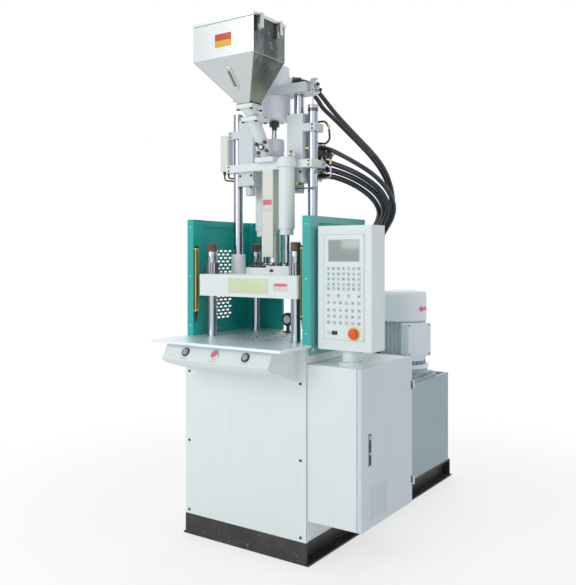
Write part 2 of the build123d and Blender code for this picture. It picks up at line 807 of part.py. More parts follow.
# Feed chute: slanted tube from the neck into the housing, with a clean-out valve on its side
chute_top = Vector(0, neck_y, neck_bottom)
chute_foot = Vector(0, axis_y - chute_foot_setback, plate_top + feed_flange)
chute_run = chute_top - chute_foot
chute_low = chute_foot - chute_run.normalized() * chute_radius
chute_high = chute_run.length + 2 * chute_radius
chute_plane = Plane(origin=chute_low, x_dir=(1, 0, 0), z_dir=chute_run)
valve_way = (math.cos(math.radians(valve_turn)), math.sin(math.radians(valve_turn)), 0)
valve_plane = Plane(origin=chute_foot + chute_run * chute_valve_share, x_dir=chute_run, z_dir=valve_way)
with BuildPart() as feed_chute:
    with BuildSketch(chute_plane):
        Circle(chute_radius)
    extrude(amount=chute_high)
    with BuildSketch(valve_plane):
        Circle(valve_radius)
    extrude(amount=valve_reach)
    with BuildSketch(valve_plane.offset(chute_radius + table_sheet)):
        RectangleRounded(2 * chute_radius, 2 * chute_radius, table_sheet)
    extrude(amount=table_sheet)
    with BuildSketch(chute_plane):
        Circle(chute_bore)
    extrude(amount=chute_high, mode=Mode.SUBTRACT)
    block((-neck_plate_width, neck_plate_width), (hopper_front, axis_y),
          (neck_bottom, neck_bottom + neck_plate_width), Mode.SUBTRACT)
    block((-neck_plate_width, neck_plate_width), (hopper_front, axis_y),
          (plate_bottom, plate_top + feed_flange), Mode.SUBTRACT)
    turned([(0, axis_y)], feed_radius + seat_gap, (plate_top, plate_top + feed_height), Mode.SUBTRACT)
pieces["feed_chute"] = feed_chute

# Hopper neck: lower and upper flange plates joined by a leaning round neck
with BuildPart() as hopper_neck:
    half_neck = neck_plate_width / 2
    block((-half_neck, half_neck), (neck_y - half_neck, neck_y + half_neck), (neck_bottom, neck_top))
    block((-half_neck, half_neck), (throat_y - half_neck, throat_y + half_neck),
          (throat_bottom, throat_top))
    fillet(hopper_neck.edges().filter_by(Axis.Z), table_sheet)
    with BuildSketch(Plane.XY.offset(neck_top)):
        with Locations((0, neck_y)):
            Circle(neck_radius)
    with BuildSketch(Plane.XY.offset(throat_bottom)):
        with Locations((0, throat_y)):
            Circle(neck_radius)
    loft()
    with BuildSketch(Plane.XY.offset(neck_bottom)):
        with Locations((0, neck_y)):
            Circle(chute_bore)
    with BuildSketch(Plane.XY.offset(throat_top)):
        with Locations((0, throat_y)):
            Circle(chute_bore)
    loft(mode=Mode.SUBTRACT)
pieces["hopper_neck"] = hopper_neck


def hopper_section(height, width, y_range, inset):
    """One rectangular section of the hopper, drawn at its height."""
    with BuildSketch(Plane.XY.offset(height)) as outline:
        rect((inset - width / 2, width / 2 - inset), (y_range[0] + inset, y_range[1] - inset))
    return outline.sketch.face()


# Hopper: folded stainless sheet, three sides sloping to the throat and an upright back
throat_range = (hopper_back - hopper_throat_depth, hopper_back)
mouth_range = (hopper_front, hopper_back)
with BuildPart() as hopper:
    loft([hopper_section(throat_top, hopper_throat_width, throat_range, 0),
          hopper_section(cone_top, hopper_width, mouth_range, 0)])
    block((-hopper_width / 2, hopper_width / 2), mouth_range, (cone_top, hopper_top))
    loft([hopper_section(throat_top, hopper_throat_width, throat_range, hopper_sheet),
          hopper_section(cone_top, hopper_width, mouth_range, hopper_sheet)], mode=Mode.SUBTRACT)
    block((hopper_sheet - hopper_width / 2, hopper_width / 2 - hopper_sheet),
          (hopper_front + hopper_sheet, hopper_back - hopper_sheet), (cone_top, hopper_top), Mode.SUBTRACT)
    # Hinge knuckle plates along the left rim
    hinge_axis_x = -hopper_width / 2 - 2 * hinge_radius
    hinge_axis_z = hopper_top
    knuckle_ends = (hopper_front + hinge_height / 2, hopper_back - hinge_height - hinge_height / 2)
    for end in knuckle_ends:
        block((hinge_axis_x - hinge_radius, -hopper_width / 2), (end, end + hinge_height),
              (hinge_axis_z - hinge_height / 2, hinge_axis_z))
        with BuildSketch(Plane.XZ.offset(-end)):
            with Locations((hinge_axis_x, hinge_axis_z)):
                Circle(hinge_radius)
        extrude(amount=-hinge_height)
pieces["hopper"] = hopper

# Hopper lid: shallow tray with a skirt on three sides, hinged along the left rim
lid_foot = hopper_top + lid_top_gap
lid_reach = hopper_width / 2 + lid_gap + lid_thick
lid_y = (hopper_front - lid_gap - lid_thick, hopper_back + lid_gap + lid_thick)
latch_axis_x = lid_reach + hinge_radius + latch_plate
latch_axis_z = lid_foot - lid_skirt / 2 + lid_thick
latch_places = [hopper_front + hopper_depth * share for share in latch_shares]
with BuildPart() as hopper_lid:
    block((-hopper_width / 2, lid_reach), lid_y, (lid_foot, lid_foot + lid_thick))
    block((lid_thick - hopper_width / 2, lid_reach), lid_y, (lid_foot - lid_skirt + lid_thick, lid_foot))
    block((-hopper_width / 2, lid_reach - lid_thick), (lid_y[0] + lid_thick, lid_y[1] - lid_thick),
          (lid_foot - lid_skirt + lid_thick, lid_foot), Mode.SUBTRACT)
    # Hinge arms between the knuckles of the hopper
    for end in (knuckle_ends[0] + hinge_height, knuckle_ends[1] - hinge_height):
        span = (end + seat_gap, end + hinge_height - seat_gap)
        block((hinge_axis_x, -hopper_width / 2), span, (lid_foot, lid_foot + lid_thick))
        with BuildSketch(Plane.XZ.offset(-span[0])):
            with Locations((hinge_axis_x, hinge_axis_z)):
                Circle(hinge_radius)
        extrude(amount=span[0] - span[1])
    # Two ears with a pin between them for each toggle latch
    for place in latch_places:
        for side in (-1, 1):
            ear = both(place + side * (latch_width / 2 + seat_gap),
                       place + side * (latch_width / 2 + latch_plate))
            block((lid_reach, latch_axis_x + hinge_pin_radius), ear,
                  (latch_axis_z - hinge_pin_radius, latch_axis_z + hinge_pin_radius))
        with BuildSketch(Plane.XZ.offset(-(place - latch_width / 2 - latch_plate))):
            with Locations((latch_axis_x, latch_axis_z)):
                Circle(hinge_pin_radius)
        extrude(amount=-(latch_width + 2 * latch_plate))
pieces["hopper_lid"] = hopper_lid

# Toggle latches: levers hanging from the lid over the hopper's right side
for label, place in zip(("lid_latch_front", "lid_latch_rear"), latch_places):
    with BuildPart() as latch:
        with BuildSketch(Plane.XZ.offset(-(place - latch_width / 2))):
            with BuildLine():
                Polyline(
                    (latch_axis_x, latch_axis_z + hinge_radius),
                    (latch_axis_x + hinge_radius, latch_axis_z + hinge_radius),
                    (latch_axis_x + hinge_radius, latch_axis_z - latch_length + latch_plate),
                    (latch_axis_x + 2 * hinge_radius, latch_axis_z - latch_length),
                    (latch_axis_x + hinge_radius, latch_axis_z - latch_length - latch_plate),
                    (latch_axis_x, latch_axis_z - latch_length + latch_plate),
                    close=True,
                )
            make_face()
            with Locations((latch_axis_x, latch_axis_z)):
                Circle(hinge_radius)
                Circle(hinge_pin_radius + running_gap, mode=Mode.SUBTRACT)
        extrude(amount=-latch_width)
    pieces[label] = latch

# Junction box on the left guide bracket
box_x = -(column_spacing / 2 + column_radius + guide_rim)
with BuildPart() as junction_box:
    block((box_x - box_side, box_x), (axis_y - injection_depth / 2, axis_y),
          (plate_bottom + cylinder_floor, plate_bottom + cylinder_floor + junction_height))
    fillet(junction_box.edges().filter_by(Axis.Z), lid_thick)
pieces["junction_box"] = junction_box

# Injection plate: carries the drive motor, the bearing housing and the two rods
with BuildPart() as injection_plate:
    half_deck = column_spacing / 2 - injection_plate_inset
    half_deck_y = injection_plate_depth / 2
    block((-half_deck, half_deck), (axis_y - half_deck_y, axis_y + half_deck_y),
          (deck_bottom, deck_top))
    fillet(injection_plate.edges().filter_by(Axis.Z), table_sheet)
    chamfer(injection_plate.faces().sort_by(Axis.Z)[-1].edges(), panel_sheet / 2)
pieces["injection_plate"] = injection_plate

# Bearing housing under the plate, with a bolted flange at its foot
housing_foot = deck_bottom - bearing_height - bearing_flange
with BuildPart() as bearing_housing:
    turned([(0, axis_y)], bearing_radius, (housing_foot + bearing_flange, deck_bottom))
    turned([(0, axis_y)], bearing_radius + table_sheet, (housing_foot, housing_foot + bearing_flange))
    chamfer(bearing_housing.edges().group_by(Axis.Z)[0], table_sheet)
    with BuildSketch(Plane.XY.offset(housing_foot - table_sheet)) as bolt_heads:
        with Locations((0, axis_y)):
            with PolarLocations(bearing_radius - 2 * table_sheet, bearing_bolts):
                Circle(table_sheet)
    extrude(amount=table_sheet)
    turned([(0, axis_y)], screw_radius + running_gap, (housing_foot, deck_bottom), Mode.SUBTRACT)
pieces["bearing_housing"] = bearing_housing

# Drive motor: square foot, round body, and two ports with a hexagon and a round crimp
port_z = deck_top + motor_flange + port_rise
port_end = motor_radius + port_reach
port_ways = [
    Vector(math.cos(math.radians(angle)), math.sin(math.radians(angle)), 0) for angle in port_angles
]
port_planes = [Plane(origin=(0, axis_y, port_z), x_dir=(0, 0, 1), z_dir=way) for way in port_ways]
with BuildPart() as drive_motor:
    half_foot = motor_flange_width / 2
    block((-half_foot, half_foot), (axis_y - half_deck_y, axis_y + half_deck_y),
          (deck_top, deck_top + motor_flange))
    fillet(drive_motor.edges().filter_by(Axis.Z), platen_corner)
    turned([(0, axis_y)], motor_radius, (deck_top + motor_flange, deck_top + motor_flange + motor_height))
    chamfer(drive_motor.edges().group_by(Axis.Z)[-1], table_sheet)
    for port_plane in port_planes:
        with BuildSketch(port_plane.offset(motor_radius / 2)):
            RegularPolygon(port_radius, 6)
        extrude(amount=port_end - port_radius - motor_radius / 2)
        with BuildSketch(port_plane.offset(port_end - port_radius)):
            Circle(port_crimp_radius)
        extrude(amount=port_radius)
pieces["drive_motor"] = drive_motor

# Injection rods, chrome
rod_foot = plate_top + cylinder_floor + injection_down + seat_gap
with BuildPart() as injection_rods:
    turned(injection_places, injection_rod_radius, (rod_foot, deck_bottom))
    chamfer(injection_rods.edges().group_by(Axis.Z)[0], lid_thick)
pieces["injection_rods"] = injection_rods

# Scale rod with its clamp block at the plate's right end, and the two knobs on it
block_x = half_deck + clamp_block_width
scale_x = column_spacing / 2
with BuildPart() as scale_clamp:
    block((half_deck, block_x), (axis_y - clamp_block_width, axis_y + clamp_block_width),
          (deck_bottom, deck_bottom + clamp_block_height))
    fillet(scale_clamp.edges().filter_by(Axis.Z), lid_thick)
    turned([(scale_x, axis_y)], scale_rod_radius, (scale_rod_bottom, deck_bottom + lid_thick))
    knob_z = deck_bottom + clamp_block_height
    turned([(scale_x + table_sheet, axis_y)], table_sheet, (knob_z, knob_z + table_sheet))
    block((scale_x - table_sheet * 2, scale_x + table_sheet * 4), (axis_y - lid_thick, axis_y + lid_thick),
          (knob_z + table_sheet, knob_z + 3 * table_sheet))
    with BuildSketch(Plane.YZ.offset(block_x)):
        with Locations((axis_y - table_sheet, deck_bottom + clamp_block_height / 2)):
            Circle(table_sheet)
    extrude(amount=2 * table_sheet)
pieces["scale_clamp"] = scale_clamp

# Screw shaft: coupling nut, shaft and the screw inside the barrel, with a pointed tip
screw_tip = barrel_bottom + screw_radius + injection_down
shaft_top = deck_bottom - seat_gap
with BuildPart() as screw_shaft:
    turned([(0, axis_y)], screw_radius, (screw_tip + 2 * screw_radius, shaft_top))
    with BuildSketch(Plane.XY.offset(housing_foot - table_sheet - coupling_height - seat_gap)):
        with Locations((0, axis_y)):
            RegularPolygon(coupling_radius, coupling_sides)
    extrude(amount=coupling_height)
    with BuildSketch(Plane.XY.offset(screw_tip)):
        with Locations((0, axis_y)):
            Circle(lid_thick)
    with BuildSketch(Plane.XY.offset(screw_tip + 2 * screw_radius)):
        with Locations((0, axis_y)):
            Circle(screw_radius)
    loft()
pieces["screw_shaft"] = screw_shaft


def guard_frame(side):
    """Posts, rails, foot flange and rear panel of one side guard."""
    outer = side * half_guard
    post_x_range = both(outer, outer - side * guard_post_width)
    rail_x = both(outer, outer - side * (guard_post_width / 2))
    block(post_x_range, (guard_front, guard_front + guard_post_depth), (table_height, guard_top))
    block(post_x_range, (guard_back - guard_rail, guard_back), (table_height, guard_top))
    for rail_bottom in (table_height, guard_top - guard_rail):
        block(rail_x, (guard_front, guard_back), (rail_bottom, rail_bottom + guard_rail))
    sheet_x = outer - side * guard_recess
    block(both(sheet_x, sheet_x - side * guard_sheet), (guard_front, guard_back),
          (table_height, guard_top))
    block(both(outer, outer - side * guard_sheet), (guard_front, guard_front + guard_foot_length),
          (table_height - guard_foot_drop, table_height))
    inner = outer - side * guard_post_width
    lip = inner - side * (rear_panel_reach - guard_post_width)
    block(both(inner, lip), (guard_back - guard_sheet, guard_back), (table_height, guard_top))
    block(both(lip, lip + side * guard_sheet), (guard_back - guard_recess * 2, guard_back),
          (table_height, guard_top))


# Left guard: welded frame round a sheet with rows of round-ended holes
with BuildPart() as guard_left:
    guard_frame(-1)
    hole_x = half_guard - guard_recess + guard_sheet
    with BuildSketch(Plane.YZ.offset(-hole_x - guard_sheet)):
        for row in range(hole_rows):
            shift = (row % 2) * hole_pitch_x / 2
            for column in range(hole_columns):
                with Locations((guard_front + hole_field_setback + shift + column * hole_pitch_x,
                                table_height + hole_field_bottom + row * hole_pitch_z)):
                    SlotOverall(hole_length, hole_height)
    extrude(amount=3 * guard_sheet, mode=Mode.SUBTRACT)
pieces["guard_left"] = guard_left

# Right guard: the same frame with a plain sheet
with BuildPart() as guard_right:
    guard_frame(1)
pieces["guard_right"] = guard_right

# Light curtain bars on the inner faces of the front posts
with BuildPart() as light_curtains:
    for side in (1, -1):
        inner = half_guard - guard_post_width
        bar_z = table_height + curtain_bottom
        block(both(side * inner, side * (inner - curtain_width)),
              (guard_front + door_gap, guard_front + door_gap + curtain_depth),
              (bar_z, bar_z + curtain_length))
    fillet(light_curtains.edges().filter_by(Axis.Z), guard_sheet)
pieces["light_curtains"] = light_curtains

# Electrical cabinet: sheet box open to the right, with its control gear on a plate inside
cabinet_y = (cabinet_front, cabinet_back)
shell_face = door_inside - door_gap
with BuildPart() as electrical_cabinet:
    block((half_body, shell_face), cabinet_y, (cabinet_bottom, cabinet_top))
    fillet(electrical_cabinet.edges().filter_by(Axis.Z).group_by(Axis.X)[-1], cabinet_sheet)
    block((half_body + cabinet_sheet, shell_face),
          (cabinet_front + cabinet_sheet, cabinet_back - cabinet_sheet),
          (cabinet_bottom + cabinet_sheet, cabinet_top - cabinet_sheet), Mode.SUBTRACT)
    # The door hangs under a fixed roof edge and on two hinge brackets at the back
    gear_plate = half_body + cabinet_sheet * 3
    block((half_body, gear_plate), (cabinet_front + gear_inset, cabinet_back - gear_inset),
          (cabinet_bottom + gear_inset, cabinet_top - gear_inset))
    row_pitch = (cabinet_height - 2 * gear_inset) / gear_rows
    column_pitch = (cabinet_depth - 2 * gear_inset) / gear_columns
    for row in range(gear_rows):
        gear_z = cabinet_bottom + gear_inset + gear_margin + row * row_pitch
        for column in range(gear_columns):
            gear_y = cabinet_front + gear_inset + gear_margin + column * column_pitch
            block((gear_plate, gear_plate + gear_depth), (gear_y, gear_y + column_pitch - 2 * gear_margin),
                  (gear_z, gear_z + row_pitch - 2 * gear_margin))
    for hinge_z in hinge_places:
        block((shell_face - 2 * hinge_radius, cabinet_face), (cabinet_back, cabinet_back + hinge_gap),
              (hinge_z, hinge_z + hinge_height / 2 - seat_gap))
        turned([hinge_centre], hinge_radius, (hinge_z, hinge_z + hinge_height / 2 - seat_gap))
        turned([hinge_centre], hinge_pin_radius, (hinge_z, hinge_z + hinge_height))
pieces["electrical_cabinet"] = electrical_cabinet

# Cabinet door: folded tray with pressed louvres and an opening for its latch
with BuildPart() as cabinet_door:
    block((door_inside, cabinet_face), cabinet_y, (cabinet_bottom, cabinet_top))
    fillet(cabinet_door.edges().filter_by(Axis.Z).group_by(Axis.X)[-1], cabinet_sheet)
    block((door_inside, cabinet_face - door_sheet), (cabinet_front + door_sheet, cabinet_back - door_sheet),
          (cabinet_bottom + door_sheet, cabinet_top - door_sheet), Mode.SUBTRACT)
    handle_y = cabinet_front + handle_inset
    handle_z = cabinet_bottom + latch_opening_z
    block((door_inside + door_sheet, cabinet_face),
          (handle_y - handle_width / 2, handle_y + handle_width / 2),
          (handle_z - handle_length / 2, handle_z + handle_length / 2))
    block((cabinet_face - handle_thick - seat_gap, cabinet_face),
          (handle_y - handle_width / 2 + door_sheet, handle_y + handle_width / 2 - door_sheet),
          (handle_z - handle_length / 2 + door_sheet, handle_z + handle_length / 2 - door_sheet),
          Mode.SUBTRACT)
    # Pin for the latch handle, across its pocket at the foot
    pin_z = handle_z - handle_length / 2 + hinge_radius + door_sheet
    with BuildSketch(Plane.XZ.offset(-(handle_y - handle_width / 2))):
        with Locations((cabinet_face - handle_thick / 2, pin_z)):
            Circle(handle_pin_radius)
    extrude(amount=-handle_width)
    # Louvres: pressed scoops, one profile repeated up the door
    louvre_y = (cabinet_front + louvre_inset, cabinet_front + louvre_inset + louvre_length)
    for step in range(louvre_count):
        low = cabinet_bottom + louvre_bottom + step * louvre_pitch
        with BuildSketch(Plane.XZ.offset(-louvre_y[0])):
            with BuildLine():
                Polyline(
                    (cabinet_face - door_sheet, low + louvre_height),
                    (cabinet_face, low + louvre_height),
                    (cabinet_face + louvre_depth, low + door_sheet),
                    (cabinet_face + louvre_depth - door_sheet, low),
                    (cabinet_face - door_sheet, low + louvre_height - 2 * door_sheet),
                    close=True,
                )
            make_face()
        extrude(amount=-louvre_length)
    for hinge_z in hinge_places:
        knuckle = (hinge_z + hinge_height / 2 + seat_gap, hinge_z + hinge_height)
        block((door_inside + door_sheet, hinge_centre[0]),
              (cabinet_back - door_sheet, hinge_centre[1] + hinge_pin_radius), knuckle)
        turned([hinge_centre], hinge_radius, knuckle)
        turned([hinge_centre], hinge_pin_radius + running_gap, (hinge_z, hinge_z + hinge_height),
               Mode.SUBTRACT)
pieces["cabinet_door"] = cabinet_door

# Door latch: flush swing handle
with BuildPart() as door_latch:
    with BuildSketch(Plane.XZ.offset(-(handle_y - handle_width / 2 + door_sheet + seat_gap))):
        with Locations((cabinet_face - handle_thick / 2, pin_z)):
            Circle(handle_thick / 2)
        rect((cabinet_face - handle_thick, cabinet_face),
             (pin_z, handle_z + handle_length / 2 - door_sheet * 2))
        with Locations((cabinet_face - handle_thick / 2, pin_z)):
            Circle(handle_pin_radius + running_gap, mode=Mode.SUBTRACT)
    extrude(amount=-(handle_width - 2 * door_sheet - 2 * seat_gap))
pieces["door_latch"] = door_latch

# Swivel post on the cabinet roof
with BuildPart() as swivel_post:
    turned([(post_x, post_y)], post_flange_radius, (cabinet_top, cabinet_top + post_flange_thick))
    chamfer(swivel_post.edges().group_by(Axis.Z)[-1], panel_sheet)
    turned([(post_x, post_y)], post_radius, (cabinet_top + post_flange_thick, post_top))
    turned([(post_x, post_y)], spigot_radius + running_gap,
           (post_top - spigot_length - panel_sheet, post_top), Mode.SUBTRACT)
pieces["swivel_post"] = swivel_post

# Control panel: box with rounded upright edges on a spigot
half_pendant = pendant_width / 2
estop_place = (post_x + estop_x, pendant_bottom + estop_rise)
with BuildPart() as control_panel:
    block((post_x - half_pendant, post_x + half_pendant), (pendant_front, pendant_front + pendant_depth),
          (pendant_bottom, pendant_bottom + pendant_height))
    fillet(control_panel.edges().filter_by(Axis.Z), pendant_corner)
    block((post_x - half_pendant + panel_sheet, post_x + half_pendant - panel_sheet),
          (pendant_front + panel_sheet, pendant_front + pendant_depth - panel_sheet),
          (pendant_bottom + panel_sheet, pendant_bottom + pendant_height - panel_sheet), Mode.SUBTRACT)
    turned([(post_x, post_y)], post_radius, (post_top + seat_gap, pendant_bottom))
    turned([(post_x, post_y)], spigot_radius, (post_top - spigot_length, pendant_bottom))
    with BuildSketch(Plane.XZ.offset(-pendant_front)):
        with Locations(estop_place):
            Circle(estop_ring_radius)
    extrude(amount=estop_ring_thick)
    with BuildSketch(Plane.XZ.offset(-pendant_front + estop_ring_thick)):
        with Locations(estop_place):
            Circle(estop_stem + running_gap)
    extrude(amount=-(2 * estop_height), mode=Mode.SUBTRACT)
    with BuildSketch(Plane.XZ.offset(-pendant_front)):
        with Locations((post_x - estop_x + table_sheet, pendant_bottom + estop_rise)):
            RectangleRounded(button_stem * 4, button_stem * 3, lid_thick)
    extrude(amount=panel_sheet)
pieces["control_panel"] = control_panel

# Keypad face: plate with a sunk screen window and raised membrane keys
face_low = pendant_bottom + face_bottom
with BuildPart() as panel_face:
    with BuildSketch(Plane.XZ.offset(-pendant_front)):
        with Locations((post_x, face_low + face_height / 2)):
            RectangleRounded(face_width, face_height, table_sheet)
        with Locations(estop_place):
            Circle(estop_ring_radius + seat_gap, mode=Mode.SUBTRACT)
        with Locations((post_x - estop_x + table_sheet, pendant_bottom + estop_rise)):
            RectangleRounded(button_stem * 4 + 2 * seat_gap, button_stem * 3 + 2 * seat_gap, lid_thick,
                             mode=Mode.SUBTRACT)
    extrude(amount=face_thick)
    with BuildSketch(Plane.XZ.offset(face_thick - pendant_front)):
        with Locations((post_x, face_low + screen_bottom + screen_height / 2)):
            Rectangle(screen_width, screen_height)
    extrude(amount=-screen_recess, mode=Mode.SUBTRACT)
    with BuildSketch(Plane.XZ.offset(face_thick - pendant_front)):
        for count, heights in ((7, upper_key_rows), (4, middle_key_rows), (6, lower_key_rows)):
            for height in heights:
                for step in range(count):
                    across = (step - (count - 1) / 2) * key_span / (count - 1)
                    with Locations((post_x + across, face_low + height)):
                        Rectangle(key_size, key_size)
    extrude(amount=key_relief)
pieces["panel_face"] = panel_face

# Emergency stop: mushroom head on a stem
estop_face = pendant_front - estop_ring_thick
with BuildPart() as emergency_stop:
    with BuildSketch(Plane.XZ.offset(estop_travel + panel_sheet / 2 - estop_face)):
        with Locations(estop_place):
            Circle(estop_radius)
    extrude(amount=estop_head)
    fillet(emergency_stop.edges().filter_by(GeomType.CIRCLE).group_by(Axis.Y)[0], estop_round)
    with BuildSketch(Plane.XZ.offset(-estop_face - estop_height)):
        with Locations(estop_place):
            Circle(estop_stem)
    extrude(amount=estop_height + estop_travel + panel_sheet)
pieces["emergency_stop"] = emergency_stop

# Valve bay: sheet housing between body and tank, its roof cut out for the hoses
bay_y = (body_back, tank_front)
slot_y = tank_front - bay_slot_setback
with BuildPart() as valve_bay:
    block((-half_body, half_body), bay_y, (skid_height, bay_top))
    block((body_wall - half_body, half_body - body_wall), (body_back + tank_sheet, tank_front - tank_sheet),
          (skid_height + tank_sheet, bay_top - tank_sheet), Mode.SUBTRACT)
    with BuildSketch(Plane.XY.offset(bay_top - 2 * tank_sheet)):
        with Locations((bay_slot_x, slot_y)):
            RectangleRounded(bay_slot_width, bay_slot_depth, body_wall)
    extrude(amount=3 * tank_sheet, mode=Mode.SUBTRACT)
    # Valve block with stacked valves on the bay's floor, clear of the hoses
    block((bay_slot_x - bay_slot_width / 2 - valve_width, bay_slot_x - bay_slot_width / 2),
          (slot_y - valve_width / 2, slot_y + valve_width / 2), (skid_height, skid_height + valve_height))
pieces["valve_bay"] = valve_bay

# Oil tank: welded sheet box with an open tray at its rear end and the motor's base on its roof
drive_place = [(drive_x, drive_y)]
half_base = drive_base_width / 2
with BuildPart() as oil_tank:
    block((-half_body, half_body), (tank_front, tank_back), (skid_height, tank_top))
    fillet(oil_tank.edges().filter_by(Axis.Z).group_by(Axis.Y)[-1], tank_sheet)
    block((tank_sheet - half_body, half_body - tank_sheet),
          (tank_front + tank_sheet, tank_back - tank_sheet),
          (skid_height + tank_sheet, tank_top - tray_depth - 2 * tank_sheet), Mode.SUBTRACT)
    block((tray_rim - half_body, half_body - tray_rim), (tank_back - tray_length, tank_back - tray_rim),
          (tank_top - tray_depth, tank_top), Mode.SUBTRACT)
    for reach, low in ((half_base, tank_top), (half_base - tray_rim, tank_top + drive_base_height / 2)):
        block((drive_x - reach, drive_x + reach), (drive_y - reach, drive_y + reach),
              (low, low + drive_base_height / 2))
    turned(drive_place, bell_radius - table_sheet, (tank_top + drive_base_height, housing_bottom))
    turned(drive_place, shaft_radius + tank_sheet, (tank_top - tray_depth, housing_bottom), Mode.SUBTRACT)
pieces["oil_tank"] = oil_tank

# Motor housing: finned casting with a round foot flange and a cast terminal box
box_plane = Plane(origin=(drive_x, drive_y, housing_top - box_height / 2),
                  x_dir=(math.sin(math.radians(-box_turn)), math.cos(math.radians(box_turn)), 0),
                  z_dir=(math.cos(math.radians(box_turn)), math.sin(math.radians(box_turn)), 0))
with BuildPart() as drive_housing:
    turned(drive_place, bell_radius, (housing_bottom, housing_bottom + drive_flange))
    chamfer(drive_housing.edges().group_by(Axis.Z)[-1], tank_sheet)
    with BuildSketch(Plane.XY.offset(housing_bottom + drive_flange)):
        with Locations((drive_x, drive_y)):
            Circle(housing_radius)
            with PolarLocations(housing_radius, fin_count):
                Rectangle(2 * fin_reach, fin_thick)
    extrude(amount=housing_height - drive_flange)
    turned(drive_place, fan_cover_radius, (housing_top - table_sheet, housing_top))
    with BuildSketch(box_plane):
        RectangleRounded(box_width, box_height - box_taper / 2, body_wall)
    extrude(amount=box_reach)
    with BuildSketch(box_plane.offset(housing_radius)):
        with BuildLine():
            Polyline(
                (-box_width / 2, box_taper - box_height / 2),
                (box_width / 2, box_taper - box_height / 2),
                (box_width / 4, -box_height / 2 - box_taper / 2),
                (-box_width / 4, -box_height / 2 - box_taper / 2),
                close=True,
            )
        make_face()
    extrude(amount=box_chin_reach)
    turned(drive_place, shaft_radius + running_gap, (housing_bottom, housing_top), Mode.SUBTRACT)
pieces["drive_housing"] = drive_housing

# Fan cover: drawn cap with a rounded shoulder and a ring of radial slots
with BuildPart() as fan_cover:
    turned(drive_place, fan_cover_radius, (housing_top, fan_top))
    fillet(fan_cover.edges().group_by(Axis.Z)[-1], fan_cover_round)
    turned(drive_place, fan_cover_radius - fan_cover_sheet, (housing_top, fan_top - fan_cover_round),
           Mode.SUBTRACT)
    turned(drive_place, fan_cover_radius - fan_cover_round,
           (fan_top - fan_cover_round, fan_top - fan_cover_sheet), Mode.SUBTRACT)
    with BuildSketch(Plane.XY.offset(fan_top - 2 * fan_cover_sheet)):
        with Locations((drive_x, drive_y)):
            with PolarLocations(fan_cover_radius / 2, grille_slots):
                SlotOverall(fan_cover_radius / 2, grille_slot_width)
    extrude(amount=3 * fan_cover_sheet, mode=Mode.SUBTRACT)
pieces["fan_cover"] = fan_cover

# Motor shaft with its fan
with BuildPart() as motor_shaft:
    turned(drive_place, shaft_radius, (tank_top + tank_sheet, housing_top + fan_height + body_wall))
    turned(drive_place, 2 * shaft_radius, (housing_top + body_wall, housing_top + body_wall + fan_height))
    with BuildSketch(Plane.XY.offset(housing_top + body_wall)):
        with Locations((drive_x, drive_y)):
            with PolarLocations(fan_radius / 2, fan_blades):
                Rectangle(fan_radius, tank_sheet)
    extrude(amount=fan_height)
pieces["motor_shaft"] = motor_shaft

# Hoses: each leaves its port, swings out to the right and drops through the roof of the bay
port_ends = [Vector(0, axis_y, port_z) + way * port_end for way in port_ways]
outlet = (manifold_x[1], manifold_y[1] - manifold_depth / 2, plate_top)
outlet_x = outlet[0]
hose_routes = {
    "motor_hose_front": (motor_hose_radius, [
        port_ends[0], port_ends[0] + port_ways[0] * port_run, (136, -464, 2198), (161, -446, 2177),
        (194, -421, 2126), (244, -390, 2048), (349, -364, 1930), (436, -337, 1833),
        (476, -303, 1758), (487, -262, 1678), (476, -220, 1604), (438, -176, 1545),
        (380, -132, 1482), (320, -88, 1402), (290, -51, 1250), (287, -48, 960), (288, -49, 730),
        (287, -48, 510)]),
    "motor_hose_rear": (motor_hose_radius, [
        port_ends[1], port_ends[1] + port_ways[1] * port_run, (76, -411, 2197), (101, -389, 2174),
        (137, -374, 2129), (151, -362, 2093), (212, -350, 2035), (312, -326, 1930),
        (399, -298, 1833), (442, -265, 1757), (458, -226, 1682), (447, -180, 1612),
        (410, -134, 1550), (355, -90, 1484), (309, -50, 1402), (289, -14, 1250), (287, -11, 960),
        (288, -12, 730), (287, -11, 510)]),
    "carriage_hose_upper": (motor_hose_radius, [
        (outlet[0], outlet[1], outlet[2] + 67), (outlet_x + 45, -470, 1870),
        (outlet_x + 101, -463, 1843), (outlet_x + 177, -440, 1798), (outlet_x + 254, -400, 1743),
        (497, -352, 1684), (512, -303, 1625), (502, -260, 1576), (464, -216, 1528),
        (406, -172, 1478), (337, -126, 1401), (290, -89, 1250), (287, -85, 960), (288, -86, 730),
        (287, -85, 510)]),
    "carriage_hose_a": (carriage_hose_radius, [
        outlet, (outlet_x + 47, -470, 1803), (outlet_x + 100, -464, 1785),
        (outlet_x + 169, -449, 1756), (outlet_x + 231, -417, 1717), (473, -372, 1673),
        (489, -325, 1623), (480, -282, 1575), (445, -247, 1528), (385, -200, 1482),
        (310, -146, 1417), (254, -94, 1290), (250, -85, 960), (251, -86, 730), (250, -85, 510)]),
    "carriage_hose_b": (carriage_hose_radius, [
        (outlet[0], outlet[1], outlet[2] - 34), (outlet_x + 45, -470, 1769),
        (outlet_x + 93, -464, 1756), (outlet_x + 156, -444, 1731), (outlet_x + 210, -403, 1696),
        (447, -352, 1654), (458, -302, 1608), (441, -251, 1566), (397, -197, 1526),
        (336, -142, 1484), (278, -92, 1418), (254, -56, 1290), (250, -48, 960), (251, -49, 730),
        (250, -48, 510)]),
    "carriage_hose_c": (carriage_hose_radius, [
        (outlet[0], outlet[1], outlet[2] - 68), (outlet_x + 42, -470, 1735),
        (outlet_x + 83, -462, 1729), (outlet_x + 140, -440, 1707), (outlet_x + 185, -390, 1675),
        (413, -332, 1636), (416, -268, 1595), (391, -203, 1556), (343, -143, 1519),
        (286, -87, 1477), (252, -46, 1414), (253, -19, 1290), (250, -11, 960), (251, -12, 730),
        (250, -11, 510)]),
}
